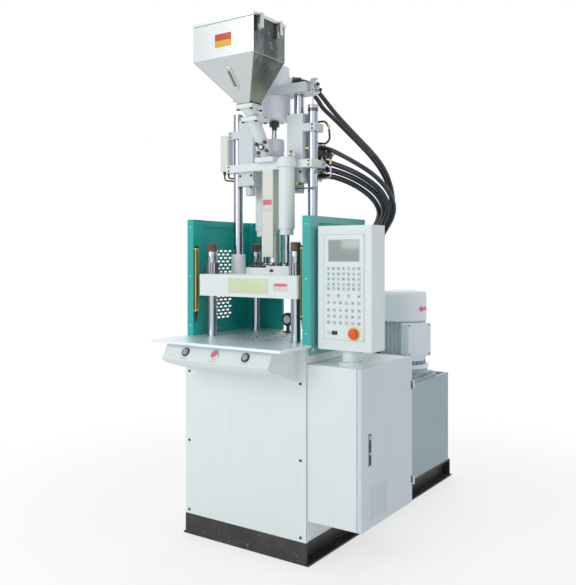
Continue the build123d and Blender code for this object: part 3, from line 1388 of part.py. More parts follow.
for label, (radius, route) in hose_routes.items():
    points = [Vector(*point) for point in route]
    bends = []
    for before, corner, after in zip(points, points[1:], points[2:]):
        first = corner - before
        second = after - corner
        turn = math.radians(first.get_angle(second))
        bends.append(bend_share * min(first.length, second.length) / math.tan(turn / 2))
    with BuildPart() as hose:
        with BuildLine() as centre:
            FilletPolyline(*points, radius=bends)
        with BuildSketch(Plane(origin=points[0], z_dir=points[1] - points[0])):
            Circle(radius)
        sweep()
    pieces[label] = hose
    length = sum(edge.length for edge in centre.edges())
    print(label, "length", round(length), "least radius", round(min(bends)),
          "volume ratio", round(hose.part.volume / (math.pi * radius ** 2 * length), 4))

for label, piece in pieces.items():
    piece.part.label = label
    export_step(piece.part, f"parts/{label}.step")
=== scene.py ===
# %% [markdown]
# # A vertical injection moulding machine
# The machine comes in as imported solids: sheet metal body, four-bar clamp, screw unit, hopper,
# cabinet, tank and motor. This lesson gives those solids their finishes and adds what a solid
# model leaves out: hoses, screws, cables, glass, seams and small fittings.

# %% Load the machine
import itertools
import math
import bmesh
import bpy
from mathutils import Matrix, Vector


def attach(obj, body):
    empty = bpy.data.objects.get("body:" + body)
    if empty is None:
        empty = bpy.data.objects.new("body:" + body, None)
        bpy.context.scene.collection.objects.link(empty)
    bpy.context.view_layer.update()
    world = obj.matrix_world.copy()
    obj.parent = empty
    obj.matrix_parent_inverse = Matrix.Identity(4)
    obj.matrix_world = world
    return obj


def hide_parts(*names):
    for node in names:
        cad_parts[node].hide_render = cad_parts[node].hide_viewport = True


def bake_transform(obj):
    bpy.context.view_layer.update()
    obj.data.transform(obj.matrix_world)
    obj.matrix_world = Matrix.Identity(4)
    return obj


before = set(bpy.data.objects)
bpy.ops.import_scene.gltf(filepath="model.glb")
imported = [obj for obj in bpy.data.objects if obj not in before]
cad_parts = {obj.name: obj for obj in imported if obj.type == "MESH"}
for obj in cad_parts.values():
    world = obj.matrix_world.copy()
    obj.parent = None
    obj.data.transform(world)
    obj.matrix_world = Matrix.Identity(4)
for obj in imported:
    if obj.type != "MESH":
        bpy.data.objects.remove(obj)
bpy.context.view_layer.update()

# %% [markdown]
# The picture is taken from the front right, level, from the height of the control panel's
# screen. The horizon lies above the middle of the picture, so the lens is shifted rather than
# the camera tilted, which keeps the upright edges upright.

# %% Camera
PHOTO_HEIGHT = 585
FOCAL_PIXELS = 735.0
HORIZON_PIXELS = 256.0
EYE = (2.0894, -3.4938, 1.350)
EYE_TURN = 34.4
camera_data = bpy.data.cameras.new("camera")
camera_data.sensor_fit = "VERTICAL"
camera_data.sensor_height = 24.0
camera_data.lens = FOCAL_PIXELS / PHOTO_HEIGHT * camera_data.sensor_height
camera_data.shift_y = (HORIZON_PIXELS - PHOTO_HEIGHT / 2) / PHOTO_HEIGHT
camera = bpy.data.objects.new("camera", camera_data)
camera.location = EYE
camera.rotation_euler = (math.radians(90), 0, math.radians(EYE_TURN))
bpy.context.scene.collection.objects.link(camera)
bpy.context.scene.camera = camera
print("lens", round(camera_data.lens, 2), "shift", round(camera_data.shift_y, 4))

# %% [markdown]
# Shader graphs are easier to read as sums than as a list of nodes. One small class wraps a
# socket so that Python's operators add Math nodes, and the other wraps a material: its one
# method makes every other kind of node from a type, its settings and its inputs.

# %% Sockets as values
class Socket:
    """A number that varies over a surface, usable in Python expressions."""

    def __init__(self, finish, socket):
        self.finish = finish
        self.socket = socket

    def math(self, operation, first, second):
        return self.finish.node("ShaderNodeMath", {"operation": operation}, {0: first, 1: second})

    def __add__(self, other):
        return self.math("ADD", self, other)

    def __radd__(self, other):
        return self.math("ADD", other, self)

    def __sub__(self, other):
        return self.math("SUBTRACT", self, other)

    def __rsub__(self, other):
        return self.math("SUBTRACT", other, self)

    def __mul__(self, other):
        return self.math("MULTIPLY", self, other)

    def __rmul__(self, other):
        return self.math("MULTIPLY", other, self)

    def __pow__(self, other):
        return self.math("POWER", self, other)

    def wave(self):
        return self.math("SINE", self, 0.0)

    def higher(self, other):
        return self.math("MAXIMUM", self, other)

    def rise(self, start, end):
        """0 before start and 1 after end, with a soft step between them."""
        sockets = {"Value": self, "From Min": start, "From Max": end}
        return self.finish.node("ShaderNodeMapRange", {"interpolation_type": "SMOOTHSTEP"}, sockets)


# %% One material and its nodes
class Finish:
    """A material whose nodes are made by one method."""

    def __init__(self, name, owner=None, surface="Principled BSDF", output="Material Output"):
        self.material = owner or bpy.data.materials.new(name)
        self.material.use_nodes = True
        self.tree = self.material.node_tree
        self.surface = self.tree.nodes[surface]
        self.output = self.tree.nodes[output]

    def node(self, kind, settings=None, inputs=None, output=0):
        made = self.tree.nodes.new(kind)
        for name, value in (settings or {}).items():
            setattr(made, name, value)
        for name, value in (inputs or {}).items():
            self.feed(made.inputs[name], value)
        return Socket(self, made.outputs[output])

    def feed(self, socket, value):
        if isinstance(value, Socket):
            self.tree.links.new(value.socket, socket)
        elif isinstance(value, tuple) and socket.type == "RGBA":
            socket.default_value = (*value, 1.0) if len(value) == 3 else value
        else:
            socket.default_value = value

    def place(self, scale=(1, 1, 1)):
        """The point on the object, in metres, stretched by scale."""
        point = self.node("ShaderNodeTexCoord", output="Object")
        return self.node("ShaderNodeMapping", None, {"Vector": point, "Scale": scale})

    def axis(self, letter):
        point = self.node("ShaderNodeTexCoord", output="Object")
        return self.node("ShaderNodeSeparateXYZ", None, {0: point}, output="XYZ".index(letter))

    def noise(self, scale, detail=3.0, stretch=(1, 1, 1), rough=0.5):
        sockets = {"Vector": self.place(stretch), "Scale": scale, "Detail": detail,
                   "Roughness": rough}
        return self.node("ShaderNodeTexNoise", None, sockets)

    def blend(self, factor, first, second):
        """A colour that goes from first to second with factor."""
        sockets = {0: factor, 6: first, 7: second}
        return self.node("ShaderNodeMix", {"data_type": "RGBA"}, sockets, output=2)

    def bump(self, height, depth, strength=1.0):
        sockets = {"Height": height, "Distance": depth, "Strength": strength}
        return self.node("ShaderNodeBump", None, sockets)

    def seen(self):
        """1 for light that reaches the camera straight, off a polish or through glass."""
        direct = self.node("ShaderNodeLightPath")
        mirrored = self.node("ShaderNodeLightPath", output=3)
        through = self.node("ShaderNodeLightPath", output=6)
        return direct.higher(mirrored).higher(through)

    def set(self, **values):
        for name, value in values.items():
            self.feed(self.surface.inputs[name.replace("_", " ")], value)
        return self.material


print("socket and finish classes ready")

# %% [markdown]
# Powder coat is the finish of nearly every panel. It isn't flat white: it has a fine orange
# peel, and a shop machine gathers faint grey streaks that run downwards and are a little
# rougher than the clean paint.

# %% Powder coat
PEEL_DEPTH = 0.00012


def powder_coat(name, colour, streak, roughness=0.42):
    coat = Finish(name)
    cloud = coat.noise(2.2, 4.0)
    fine = coat.noise(60.0, 2.0)
    streaks = coat.noise(9.0, 5.0, (4.0, 4.0, 0.35))
    dust = (streaks.rise(0.48, 0.78) * 0.35 + cloud.rise(0.45, 0.8) * 0.45) * 0.5
    rough = roughness + fine * 0.10 + dust * 0.12
    peel = coat.noise(900.0, 2.0)
    return coat.set(Base_Color=coat.blend(dust, colour, streak), Roughness=rough,
                    Normal=coat.bump(peel, PEEL_DEPTH))


white_coat = powder_coat("white_coat", (0.745, 0.815, 0.815), (0.62, 0.69, 0.70))
print("powder coat", white_coat.name)

# %% [markdown]
# Stainless sheet is brushed along its length, so its grain is noise stretched fifty times in
# one direction. The grain feeds roughness, colour and a very low bump together, because a
# scratch that changes only one of them looks printed on.

# %% Brushed stainless and turned steel
HAIR_SCALE = 1400.0
HAIR_DEPTH = 0.00006
ALONG_X = (0.02, 1.0, 1.0)
EVEN = (1, 1, 1)


def brushed(name, colour, dark, grain, rough):
    steel = Finish(name)
    hair = steel.noise(HAIR_SCALE, 3.0, grain)
    cloud = steel.noise(3.5, 4.0)
    tint = steel.blend(hair * 0.5 + cloud * 0.35, colour, dark)
    roughness = rough + hair * 0.16 + cloud.rise(0.4, 0.75) * 0.10
    return steel.set(Base_Color=tint, Metallic=1.0, Roughness=roughness,
                     Normal=steel.bump(hair, HAIR_DEPTH))


stainless = brushed("brushed_stainless", (0.66, 0.69, 0.69), (0.46, 0.49, 0.49), ALONG_X, 0.24)
steel_turned = brushed("turned_steel", (0.62, 0.62, 0.63), (0.40, 0.40, 0.41), (1.0, 1.0, 0.05), 0.32)
print("metals", stainless.name, steel_turned.name)

# %% [markdown]
# The machine stands in a white studio. The world is fully white to the camera and in polished
# steel, but gives little more than half of that as light, so that the lamps shape the paint.

# %% World and lamps
world = bpy.data.worlds.new("studio")
bpy.context.scene.world = world
sky = Finish("studio", world, "Background", "World Output")
sky.set(Color=(1.0, 1.0, 1.0), Strength=sky.seen() * 0.45 + 0.55)


def lamp(name, place, aim, size, watts):
    data = bpy.data.lights.new(name, "AREA")
    data.shape = "SQUARE"
    data.size = size
    data.energy = watts
    light = bpy.data.objects.new(name, data)
    light.location = place
    light.rotation_euler = (Vector(aim) - Vector(place)).to_track_quat("-Z", "Y").to_euler()
    bpy.context.scene.collection.objects.link(light)


lamp("key", (-1.3, -6.4, 3.4), (0, -0.3, 1.1), 3.5, 140)
lamp("fill", (4.5, -1.5, 2.2), (0.2, 0, 0.9), 3.0, 10)
lamp("top", (0.3, 0.0, 5.0), (0, 0, 1.0), 3.0, 36)
lamp("rear", (-1.5, 4.5, 3.0), (0, 0.4, 1.0), 3.0, 45)

# %% [markdown]
# The floor shows as white paper far from the machine and keeps a soft shadow close to it. The
# paper's glow is there for the camera and for polished steel only, so it lights nothing.

# %% Floor
FLOOR_RADIUS = 14.0
FLOOR_GAP = 0.0005
floor_mesh = bmesh.new()
bmesh.ops.create_circle(floor_mesh, cap_ends=True, segments=96, radius=FLOOR_RADIUS)
floor_data = bpy.data.meshes.new("floor")
floor_mesh.to_mesh(floor_data)
floor_mesh.free()
floor = bpy.data.objects.new("floor", floor_data)
floor.location = (0, 0, -FLOOR_GAP)
bpy.context.scene.collection.objects.link(floor)
ground = Finish("pale_floor")
away = (ground.axis("X") ** 2.0 + ground.axis("Y") ** 2.0) ** 0.5
glow = ground.node("ShaderNodeEmission", None, {"Color": (1.0, 1.0, 1.0), "Strength": 1.0})
shown = (away.rise(1.1, 2.6) * 0.35 + 0.65) * ground.seen()
fade = ground.node("ShaderNodeMixShader", None, {0: shown, 2: glow})
ground.tree.links.new(ground.surface.outputs[0], fade.socket.node.inputs[1])
ground.tree.links.new(fade.socket, ground.output.inputs["Surface"])
floor_data.materials.append(ground.set(Base_Color=(0.92, 0.93, 0.94), Roughness=0.7))
bpy.context.scene.view_settings.view_transform = "Standard"
print("floor radius", FLOOR_RADIUS)

# %% [markdown]
# The other painted parts reuse the powder coat with their own colours. The guards are a deep
# green and the motor a blue grey. The cabinet's door is painted a shade greyer than its front as
# painted shade on its side-facing sheet; the tank's coat is a darker copy of the white as painted
# shade, the blocks' coat a greyer paint with painted shade from the hopper in it, and the collar's
# coat a lighter copy of the white as painted light.

# %% More paint
# Painted shade: the door's coat is the white made greyer for its side-facing sheet.
door_coat = powder_coat("door_coat", (0.61, 0.69, 0.75), (0.53, 0.61, 0.67), 0.40)
# Painted shade: the tank's coat is the white made darker, as if the tank stood in shade.
tank_coat = powder_coat("tank_coat", (0.35, 0.45, 0.50), (0.27, 0.36, 0.41), 0.46)
fan_coat = powder_coat("fan_coat", (0.78, 0.85, 0.90), (0.65, 0.72, 0.77), 0.38)
grey_coat = powder_coat("grey_coat", (0.36, 0.38, 0.41), (0.26, 0.27, 0.30), 0.45)
lilac_coat = powder_coat("lilac_coat", (0.80, 0.83, 0.90), (0.70, 0.73, 0.80), 0.40)
cream_coat = powder_coat("cream_coat", (0.73, 0.765, 0.69), (0.62, 0.66, 0.58), 0.42)
# Painted light: the collar's coat is the white made lighter where the collar lies in shadow.
collar_coat = powder_coat("collar_coat", (0.93, 0.95, 0.98), (0.86, 0.88, 0.92), 0.34)
# Partly the blocks' own greyer paint, partly painted shade where the hopper shadows them.
block_coat = powder_coat("block_coat", (0.62, 0.68, 0.71), (0.50, 0.56, 0.59), 0.40)
yellow_coat = powder_coat("yellow_coat", (0.80, 0.68, 0.05), (0.62, 0.52, 0.08), 0.40)
print("more paint", yellow_coat.name)

# %% [markdown]
# The guards' outer sheets are painted a paler, washed green as painted light, where the hall's
# light falls on them; inside they stay a deep green. The mask is the distance from the machine's
# middle, read from the X axis.

# %% Guard paint
def guard_paint():
    coat = Finish("green_coat")
    cloud = coat.noise(3.0, 4.0)
    side = (coat.axis("X") ** 2.0) ** 0.5
    deep = coat.blend(cloud.rise(0.40, 0.80), (0.012, 0.42, 0.375), (0.020, 0.36, 0.33))
    # Painted light: the outer sheets get the paler green in place of the hall's light on them.
    base = coat.blend(side.rise(0.3535, 0.3550), deep, (0.125, 0.455, 0.44))
    peel = coat.noise(900.0, 2.0)
    return coat.set(Base_Color=base, Roughness=0.34 + cloud * 0.12,
                    Normal=coat.bump(peel, PEEL_DEPTH))


green_coat = guard_paint()
print("guard paint", green_coat.name)

# %% [markdown]
# The finned body of the motor is painted darker than its terminal box, though both are one
# casting: the darker colour is painted shade between the fins. The mask is the distance from the
# motor's axis, which passes the fins and stops at the box that stands further out.

# %% Motor paint
MOTOR_AXIS = (0.190, 0.480)


def motor_paint():
    coat = Finish("motor_coat")
    x, y = (coat.axis(letter) - middle for letter, middle in zip("XY", MOTOR_AXIS))
    out = (x ** 2.0 + y ** 2.0) ** 0.5
    cloud = coat.noise(5.0, 4.0)
    # Painted shade: the finned body is darker than the terminal box.
    shaded_fins = coat.blend(cloud.rise(0.35, 0.75), (0.58, 0.64, 0.69), (0.45, 0.51, 0.56))
    base = coat.blend(out.rise(0.137, 0.143), shaded_fins, (0.74, 0.83, 0.90))
    peel = coat.noise(500.0, 2.0)
    return coat.set(Base_Color=base, Roughness=0.40 + cloud * 0.15, Normal=coat.bump(peel, 0.0003))


motor_coat = motor_paint()
print("paints", [m.name for m in bpy.data.materials if m.name.endswith("_coat")])

# %% [markdown]
# The skid is black oil paint over hot rolled channel. Forklift tines and pallets chip it, so
# rust shows in small specks, mostly low down. A threshold on noise gives specks with hard
# edges, and the same mask takes away the gloss.

# %% Chipped black paint
def chipped_black():
    skid = Finish("chipped_black")
    speck = skid.noise(55.0, 5.0, EVEN, 0.65)
    low = 1 - skid.axis("Z").rise(0.0, 0.09)
    rust = (speck + low * 0.04).rise(0.645, 0.68)
    dust = skid.noise(7.0, 4.0).rise(0.4, 0.8) * 0.5
    black = skid.blend(dust, (0.016, 0.016, 0.018), (0.06, 0.06, 0.058))
    base = skid.blend(rust, black, (0.19, 0.11, 0.065))
    height_map = skid.noise(240.0, 3.0) - rust * 0.6
    return skid.set(Base_Color=base, Roughness=0.42 + rust * 0.4 + dust * 0.2,
                    Normal=skid.bump(height_map, 0.0004))


black_paint = chipped_black()
print("skid paint", black_paint.name)

# %% [markdown]
# Plastic differs from paint mostly in roughness and in its fine texture: it has the light
# grain of a spark-eroded mould. Blackened steel is coarser in the same way, so the screws that
# hold the blocks share the recipe.

# %% Plastic, black screws and small metals
GRIT_DEPTH = 0.00008


def moulded(name, colour, worn, rough, grain=700.0):
    plastic = Finish(name)
    cloud = plastic.noise(14.0, 3.0).rise(0.35, 0.8)
    grit = plastic.noise(grain, 2.0)
    return plastic.set(Base_Color=plastic.blend(cloud, colour, worn), Roughness=rough + grit * 0.14,
                       Normal=plastic.bump(grit, GRIT_DEPTH))


black_plastic = moulded("black_plastic", (0.012, 0.012, 0.014), (0.030, 0.030, 0.034), 0.40)
black_oxide = moulded("black_oxide", (0.030, 0.029, 0.030), (0.075, 0.070, 0.068), 0.38, 300.0)
red_plastic = moulded("red_plastic", (0.78, 0.16, 0.23), (0.68, 0.12, 0.18), 0.24)
orange_plastic = moulded("orange_plastic", (0.82, 0.10, 0.03), (0.70, 0.08, 0.03), 0.24)
green_plastic = moulded("green_plastic", (0.32, 0.42, 0.40), (0.26, 0.35, 0.33), 0.26)
pale_plastic = moulded("pale_plastic", (0.68, 0.70, 0.70), (0.58, 0.60, 0.60), 0.38)
brass = brushed("brass", (0.80, 0.60, 0.22), (0.55, 0.40, 0.14), EVEN, 0.28)
zinc = brushed("zinc_screw", (0.70, 0.71, 0.72), (0.48, 0.49, 0.50), EVEN, 0.30)
print("plastics and small metals ready")

# %% [markdown]
# The hopper needs a finish of its own. Its left-facing and front-facing sheets mirror a bright
# hall, its right-facing ones a dark one, so a painted reflection that darkens the colour with the
# way the sheet faces stands in for that hall. Cloudy noise breaks the edge of the painted
# reflection, as it breaks on real sheet. Ground bars get the same painted reflection in narrow
# upright stripes, which come from a wave over the normal.

# %% Bars that mirror a hall
BAR_CLOUD = (1, 1, 0.3)
# The second colour is the dark of the painted reflection stripes.
CHROME, CHROME_REFLECTION_DARK = (0.60, 0.64, 0.70), (0.20, 0.23, 0.28)


def reflection_stripes(finish, pace=6.0):
    """Painted reflection of a hall: upright dark stripes on a round bar, from the way it faces."""
    normal = finish.node("ShaderNodeNewGeometry", output=1)
    across = finish.node("ShaderNodeVectorMath", {"operation": "DOT_PRODUCT"},
                         {0: normal, 1: (0.825, 0.565, 0.0)}, 1)
    return (across * pace - 1.2).wave().rise(-0.35, 0.85)


def mirror_bar(name, colour, dark, rough, pace=6.0):
    bar = Finish(name)
    cloud = bar.noise(24.0, 4.0, BAR_CLOUD)
    bright = bar.blend(cloud, colour, tuple(c * 0.84 for c in colour))
    # Painted reflection: the dark stripes stand in for the hall mirrored in the bar.
    base = bar.blend(reflection_stripes(bar, pace), bright, dark)
    return bar.set(Base_Color=base, Metallic=1.0, Roughness=rough + cloud * 0.10)


chrome_bar = mirror_bar("ground_chrome", CHROME, CHROME_REFLECTION_DARK, 0.12)
slotted_steel = mirror_bar("slotted_steel", (0.50, 0.52, 0.55), (0.05, 0.05, 0.055), 0.24, 15.0)
dull_steel = mirror_bar("dull_steel", (0.62, 0.63, 0.64), (0.30, 0.31, 0.32), 0.30)
print("mirror bars", chrome_bar.name, slotted_steel.name, dull_steel.name)


# %% Guide columns
CAP_FOOT = 2.0470
SEAL_EDGES = (2.0320, 2.0385, 2.0405)


def column_steel():
    """Ground column whose right one ends in two seal rings and a turned cap."""
    bar = Finish("column_chrome")
    height = bar.axis("Z")
    cloud = bar.noise(24.0, 4.0, BAR_CLOUD)
    ground_face = bar.blend(cloud, CHROME, (0.50, 0.54, 0.59))
    # Painted reflection: dark upright stripes over the ground face, as on the other bars.
    base = bar.blend(reflection_stripes(bar), ground_face, CHROME_REFLECTION_DARK)
    right = bar.axis("X").rise(0.0, 0.01)
    cap = height.rise(CAP_FOOT, CAP_FOOT + 0.0004) * right
    seals = [height.rise(edge, edge + 0.0003) for edge in SEAL_EDGES]
    rings = (seals[0] - seals[1] + seals[2] - cap) * right
    base = bar.blend(cap, base, (0.42, 0.43, 0.44))
    base = bar.blend(rings, base, (0.012, 0.012, 0.014))
    rough = 0.12 + cloud * 0.10 + cap * 0.2 + rings * 0.3
    return bar.set(Base_Color=base, Metallic=1.0 - rings, Roughness=rough)


column_chrome = column_steel()
print("columns", column_chrome.name)


# %% Hopper sheet
def hopper_sheet():
    sheet = Finish("hopper_sheet")
    normal = sheet.node("ShaderNodeNewGeometry", output=1)
    facing = sheet.node("ShaderNodeSeparateXYZ", None, {0: normal}, 0)
    cloud = sheet.noise(9.0, 5.0, (1, 1, 0.5), 0.6)
    hair = sheet.noise(HAIR_SCALE, 3.0, ALONG_X)
    # Painted reflection: sheets facing right are darkened as if they mirrored a dark hall.
    dark = facing.rise(0.30, 0.75)
    painted_reflection = (dark * cloud.rise(0.28, 0.66)) * 0.30 + dark * 0.70
    low = 1 - sheet.axis("Z").rise(2.05, 2.23)
    # Painted highlights: light specks in the dark reflection; the cone's olive is painted reflection.
    painted_glints = sheet.noise(42.0, 4.0).rise(0.60, 0.72) * (1 - low) * 0.5
    shade = sheet.blend(low, (0.062, 0.068, 0.072), (0.30, 0.32, 0.20))
    shade = sheet.blend(painted_glints, shade, (0.42, 0.44, 0.46))
    bright = sheet.blend(hair * 0.5 + cloud * 0.4, (0.66, 0.70, 0.70), (0.48, 0.52, 0.53))
    tint = sheet.blend(painted_reflection, bright, shade)
    return sheet.set(Base_Color=tint, Metallic=1.0, Roughness=0.22 + hair * 0.14,
                     Normal=sheet.bump(hair, 0.00005))


hopper_steel = hopper_sheet()
print("hopper finish", hopper_steel.name)

# %% [markdown]
# The table is the one sheet that is worked on. Swirls of wiping and dragging cover the middle of
# it, bright where they are fresh and dark between, and they fade towards its front edge, its
# back and the left.

# %% Table sheet
def table_sheet():
    sheet = Finish("table_sheet")
    swirl = sheet.node("ShaderNodeTexNoise", None,
                       {"Vector": sheet.place(), "Scale": 30.0, "Detail": 6.0,
                        "Roughness": 0.62, "Distortion": 2.4})
    depth, across = sheet.axis("Y"), sheet.axis("X")
    middle = depth.rise(-0.90, -0.68) * (1 - depth.rise(-0.36, -0.28))
    worn = middle * (across.rise(-0.22, 0.02) * 0.7 + 0.3)
    marks = swirl.rise(0.50, 0.57) * worn
    hair = sheet.noise(HAIR_SCALE, 3.0, ALONG_X)
    tint = sheet.blend(marks, (0.80, 0.87, 0.92), (0.99, 1.0, 1.0))
    dark = sheet.blend((1 - swirl.rise(0.42, 0.48)) * worn, tint, (0.15, 0.165, 0.18))
    return sheet.set(Base_Color=dark, Metallic=0.78 - marks * 0.3,
                     Roughness=0.34 - marks * 0.06 + hair * 0.10,
                     Normal=sheet.bump(swirl * worn * 2.0 + hair * 0.02, 0.0022))


table_steel = table_sheet()
print("table finish", table_steel.name)


# %% Screw shaft
def shaft_steel():
    """Bright shaft with a blackened coupling nut at its head."""
    shaft = Finish("shaft_steel")
    height = shaft.axis("Z")
    # Painted reflection: dark upright stripes on the bright shaft.
    bright = shaft.blend(reflection_stripes(shaft), (0.78, 0.80, 0.82), (0.18, 0.19, 0.21))
    base = shaft.blend(height.rise(1.962, 1.965), bright, (0.06, 0.06, 0.065))
    return shaft.set(Base_Color=base, Metallic=1.0, Roughness=0.22 + shaft.noise(90.0, 4.0) * 0.12)


shaft_finish = shaft_steel()
print("shaft finish", shaft_finish.name)

# %% [markdown]
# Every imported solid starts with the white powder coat, and the ones that differ are named after
# it. Only the material in a solid's slot is changed; the solid itself stays as it came.

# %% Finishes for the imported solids
def paint(finish, *nodes):
    """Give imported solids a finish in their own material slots."""
    for name in nodes:
        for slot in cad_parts[name].material_slots:
            slot.material = finish


paint(white_coat, *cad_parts)
paint(stainless, "hopper_lid")
paint(table_steel, "table")
paint(hopper_steel, "hopper")
paint(door_coat, "cabinet_door")
paint(tank_coat, "oil_tank")
paint(chrome_bar, "tie_bars", "carriage_rods", "injection_rods")
paint(column_chrome, "guide_columns")
paint(steel_turned, "bed_plate", "barrel", "motor_shaft", "scale_clamp")
paint(dull_steel, "lid_latch_front", "lid_latch_rear")
paint(shaft_finish, "screw_shaft")
paint(zinc, "heater_bands")
paint(black_paint, "skid")
paint(grey_coat, "crosshead", "clamp_cylinder")
paint(green_coat, "guard_left", "guard_right")
paint(yellow_coat, "light_curtains")
paint(motor_coat, "drive_housing")
paint(fan_coat, "fan_cover")
paint(lilac_coat, "bearing_housing", "feed_housing", "drive_motor")
paint(cream_coat, "barrel_cover")
paint(block_coat, "injection_plate", "injection_cylinders", "cylinder_heads")
paint(slotted_steel, "tie_bar_nuts")
paint(collar_coat, "column_collars")
paint(black_plastic, "door_latch")
paint(red_plastic, "stop_button")
paint(orange_plastic, "emergency_stop")
paint(green_plastic, "start_button_left", "start_button_right")
print("painted", len(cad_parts), "solids")

# %% [markdown]
# Six hydraulic hoses hang into the valve bay behind the body: four start on the moving carriage
# and two on the injection plate above it. A hose is one smooth line, so each is a single NURBS
# spline whose control points are the same corners as the solid tube's. The injection plate
# moves on its own; its two motor hoses, which run between that body and the carriage, are made
# into meshes that ride on no body. The rubber carries a wrapped cloth pattern, which is a pair of
# crossed waves.

# %% Hose rubber
def hose_rubber():
    rubber = Finish("hose_rubber")
    rise = rubber.axis("Z") * 900.0
    lean = (rubber.axis("X") + rubber.axis("Y")) * 260.0
    wrap = ((rise + lean).wave() + (rise - lean).wave()) * 0.25 + 0.5
    scuff = rubber.noise(18.0, 5.0).rise(0.45, 0.75)
    base = rubber.blend(scuff * 0.8, (0.010, 0.013, 0.022), (0.045, 0.052, 0.072))
    return rubber.set(Base_Color=base, Roughness=0.36 + scuff * 0.22,
                      Normal=rubber.bump(wrap, 0.0005, 0.5))


rubber = hose_rubber()
print("rubber", rubber.name)


# %% Corners of the hoses
def drop(x, y):
    """The last corners of a hose, which hangs straight down into the bay."""
    return [(x, y, 960), (x + 1, y - 1, 730), (x, y, 510)]


HOSES = {
    "motor_hose_front": (0.011, [
        (82.7, -502.1, 2208), (109.7, -483.2, 2208), (136, -464, 2198), (161, -446, 2177),
        (194, -421, 2126), (244, -390, 2048), (349, -364, 1930), (436, -337, 1833), (476, -303, 1758),
        (487, -262, 1678), (476, -220, 1604), (438, -176, 1545), (380, -132, 1482), (320, -88, 1402),
        (290, -51, 1250), *drop(287, -48)]),
    "motor_hose_rear": (0.011, [
        (42.7, -468.5, 2208), (56.6, -438.6, 2208), (76, -411, 2197), (101, -389, 2174),
        (137, -374, 2129), (151, -362, 2093), (212, -350, 2035), (312, -326, 1930), (399, -298, 1833),
        (442, -265, 1757), (458, -226, 1682), (447, -180, 1612), (410, -134, 1550), (355, -90, 1484),
        (309, -50, 1402), (289, -14, 1250), *drop(287, -11)]),
    "carriage_hose_upper": (0.011, [
        (199, -470, 1870), (244, -470, 1870), (300, -463, 1843), (376, -440, 1798), (453, -400, 1743),
        (497, -352, 1684), (512, -303, 1625), (502, -260, 1576), (464, -216, 1528), (406, -172, 1478),
        (337, -126, 1401), (290, -89, 1250), *drop(287, -85)]),
    "carriage_hose_a": (0.0125, [
        (199, -470, 1803), (246, -470, 1803), (299, -464, 1785), (368, -449, 1756), (430, -417, 1717),
        (473, -372, 1673), (489, -325, 1623), (480, -282, 1575), (445, -247, 1528), (385, -200, 1482),
        (310, -146, 1417), (254, -94, 1290), *drop(250, -85)]),
    "carriage_hose_b": (0.0125, [
        (199, -470, 1769), (244, -470, 1769), (292, -464, 1756), (355, -444, 1731), (409, -403, 1696),
        (447, -352, 1654), (458, -302, 1608), (441, -251, 1566), (397, -197, 1526), (336, -142, 1484),
        (278, -92, 1418), (254, -56, 1290), *drop(250, -48)]),
    "carriage_hose_c": (0.0125, [
        (199, -470, 1735), (241, -470, 1735), (282, -462, 1729), (339, -440, 1707), (384, -390, 1675),
        (413, -332, 1636), (416, -268, 1595), (391, -203, 1556), (343, -143, 1519), (286, -87, 1477),
        (252, -46, 1414), (253, -19, 1290), *drop(250, -11)]),
}
print("hoses", len(HOSES))


# %% Hose curves
HOSE_SIDES = 8


def spline_piece(name, points, radius, finish):
    """A hose along one smooth open spline that is led by the given corners."""
    curve = bpy.data.curves.new(name, "CURVE")
    curve.dimensions = "3D"
    curve.bevel_depth = radius
    curve.bevel_resolution = HOSE_SIDES
    curve.use_fill_caps = True
    spline = curve.splines.new("NURBS")
    spline.points.add(len(points) - 1)
    for control, place in zip(spline.points, points):
        control.co = (*place, 1.0)
    spline.order_u = 3
    spline.use_endpoint_u = True
    spline.resolution_u = 10
    curve.materials.append(finish)
    piece = bpy.data.objects.new(name, curve)
    bpy.context.scene.collection.objects.link(piece)
    return piece


def centre_line(piece):
    """Points along a curve's centre, read from Blender with the bevel off."""
    depth = piece.data.bevel_depth
    piece.data.bevel_depth = 0.0
    line = bpy.data.meshes.new_from_object(piece)
    piece.data.bevel_depth = depth
    spots = [v.co.copy() for v in line.vertices]
    bpy.data.meshes.remove(line)
    return spots


def as_mesh(piece):
    """The same hose as a mesh, in place of the curve."""
    data = bpy.data.meshes.new_from_object(piece)
    tube = bpy.data.objects.new(piece.name + "_tube", data)
    bpy.context.scene.collection.objects.link(tube)
    bpy.data.objects.remove(piece)
    return tube


for name, (radius, corners) in HOSES.items():
    points = [tuple(v / 1000 for v in corner) for corner in corners]
    hose = spline_piece(name + "_rubber", points, radius, rubber)
    line = centre_line(hose)
    if name.startswith("motor"):
        hose = as_mesh(hose)
        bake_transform(hose)
    else:
        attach(hose, "carriage")
    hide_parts(name)
    2 * radius

# %% [markdown]
# The small parts are built in mesh code, in millimetres, and scaled to metres once at the end.
# A piece is a name, a finish, the body it rides on and a list of shapes; a slot name is passed too.
# Most shapes are bevelled blocks, turned parts, pipes or rows of screw heads. Each builder gets
# its sizes where the piece is listed and its mesh later, which a small decorator arranges.

# %% Directions, rows and circles
FRONT, BACK = (0, -1, 0), (0, 1, 0)
LEFT, RIGHT = (-1, 0, 0), (1, 0, 0)
UP, DOWN = (0, 0, 1), (0, 0, -1)
SIDES = (-1, 1)


def stand(place, way=UP, turn=0.0):
    """A matrix that puts a part's foot at a place with its height along a direction."""
    tilt = Vector(UP).rotation_difference(Vector(way)).to_matrix().to_4x4()
    return Matrix.Translation(place) @ tilt @ Matrix.Rotation(math.radians(turn), 4, "Z")


def grid(*axes):
    """Every point with its coordinates from three tuples; a number stands for a tuple of one."""
    return list(itertools.product(*[axis if isinstance(axis, tuple) else (axis,) for axis in axes]))


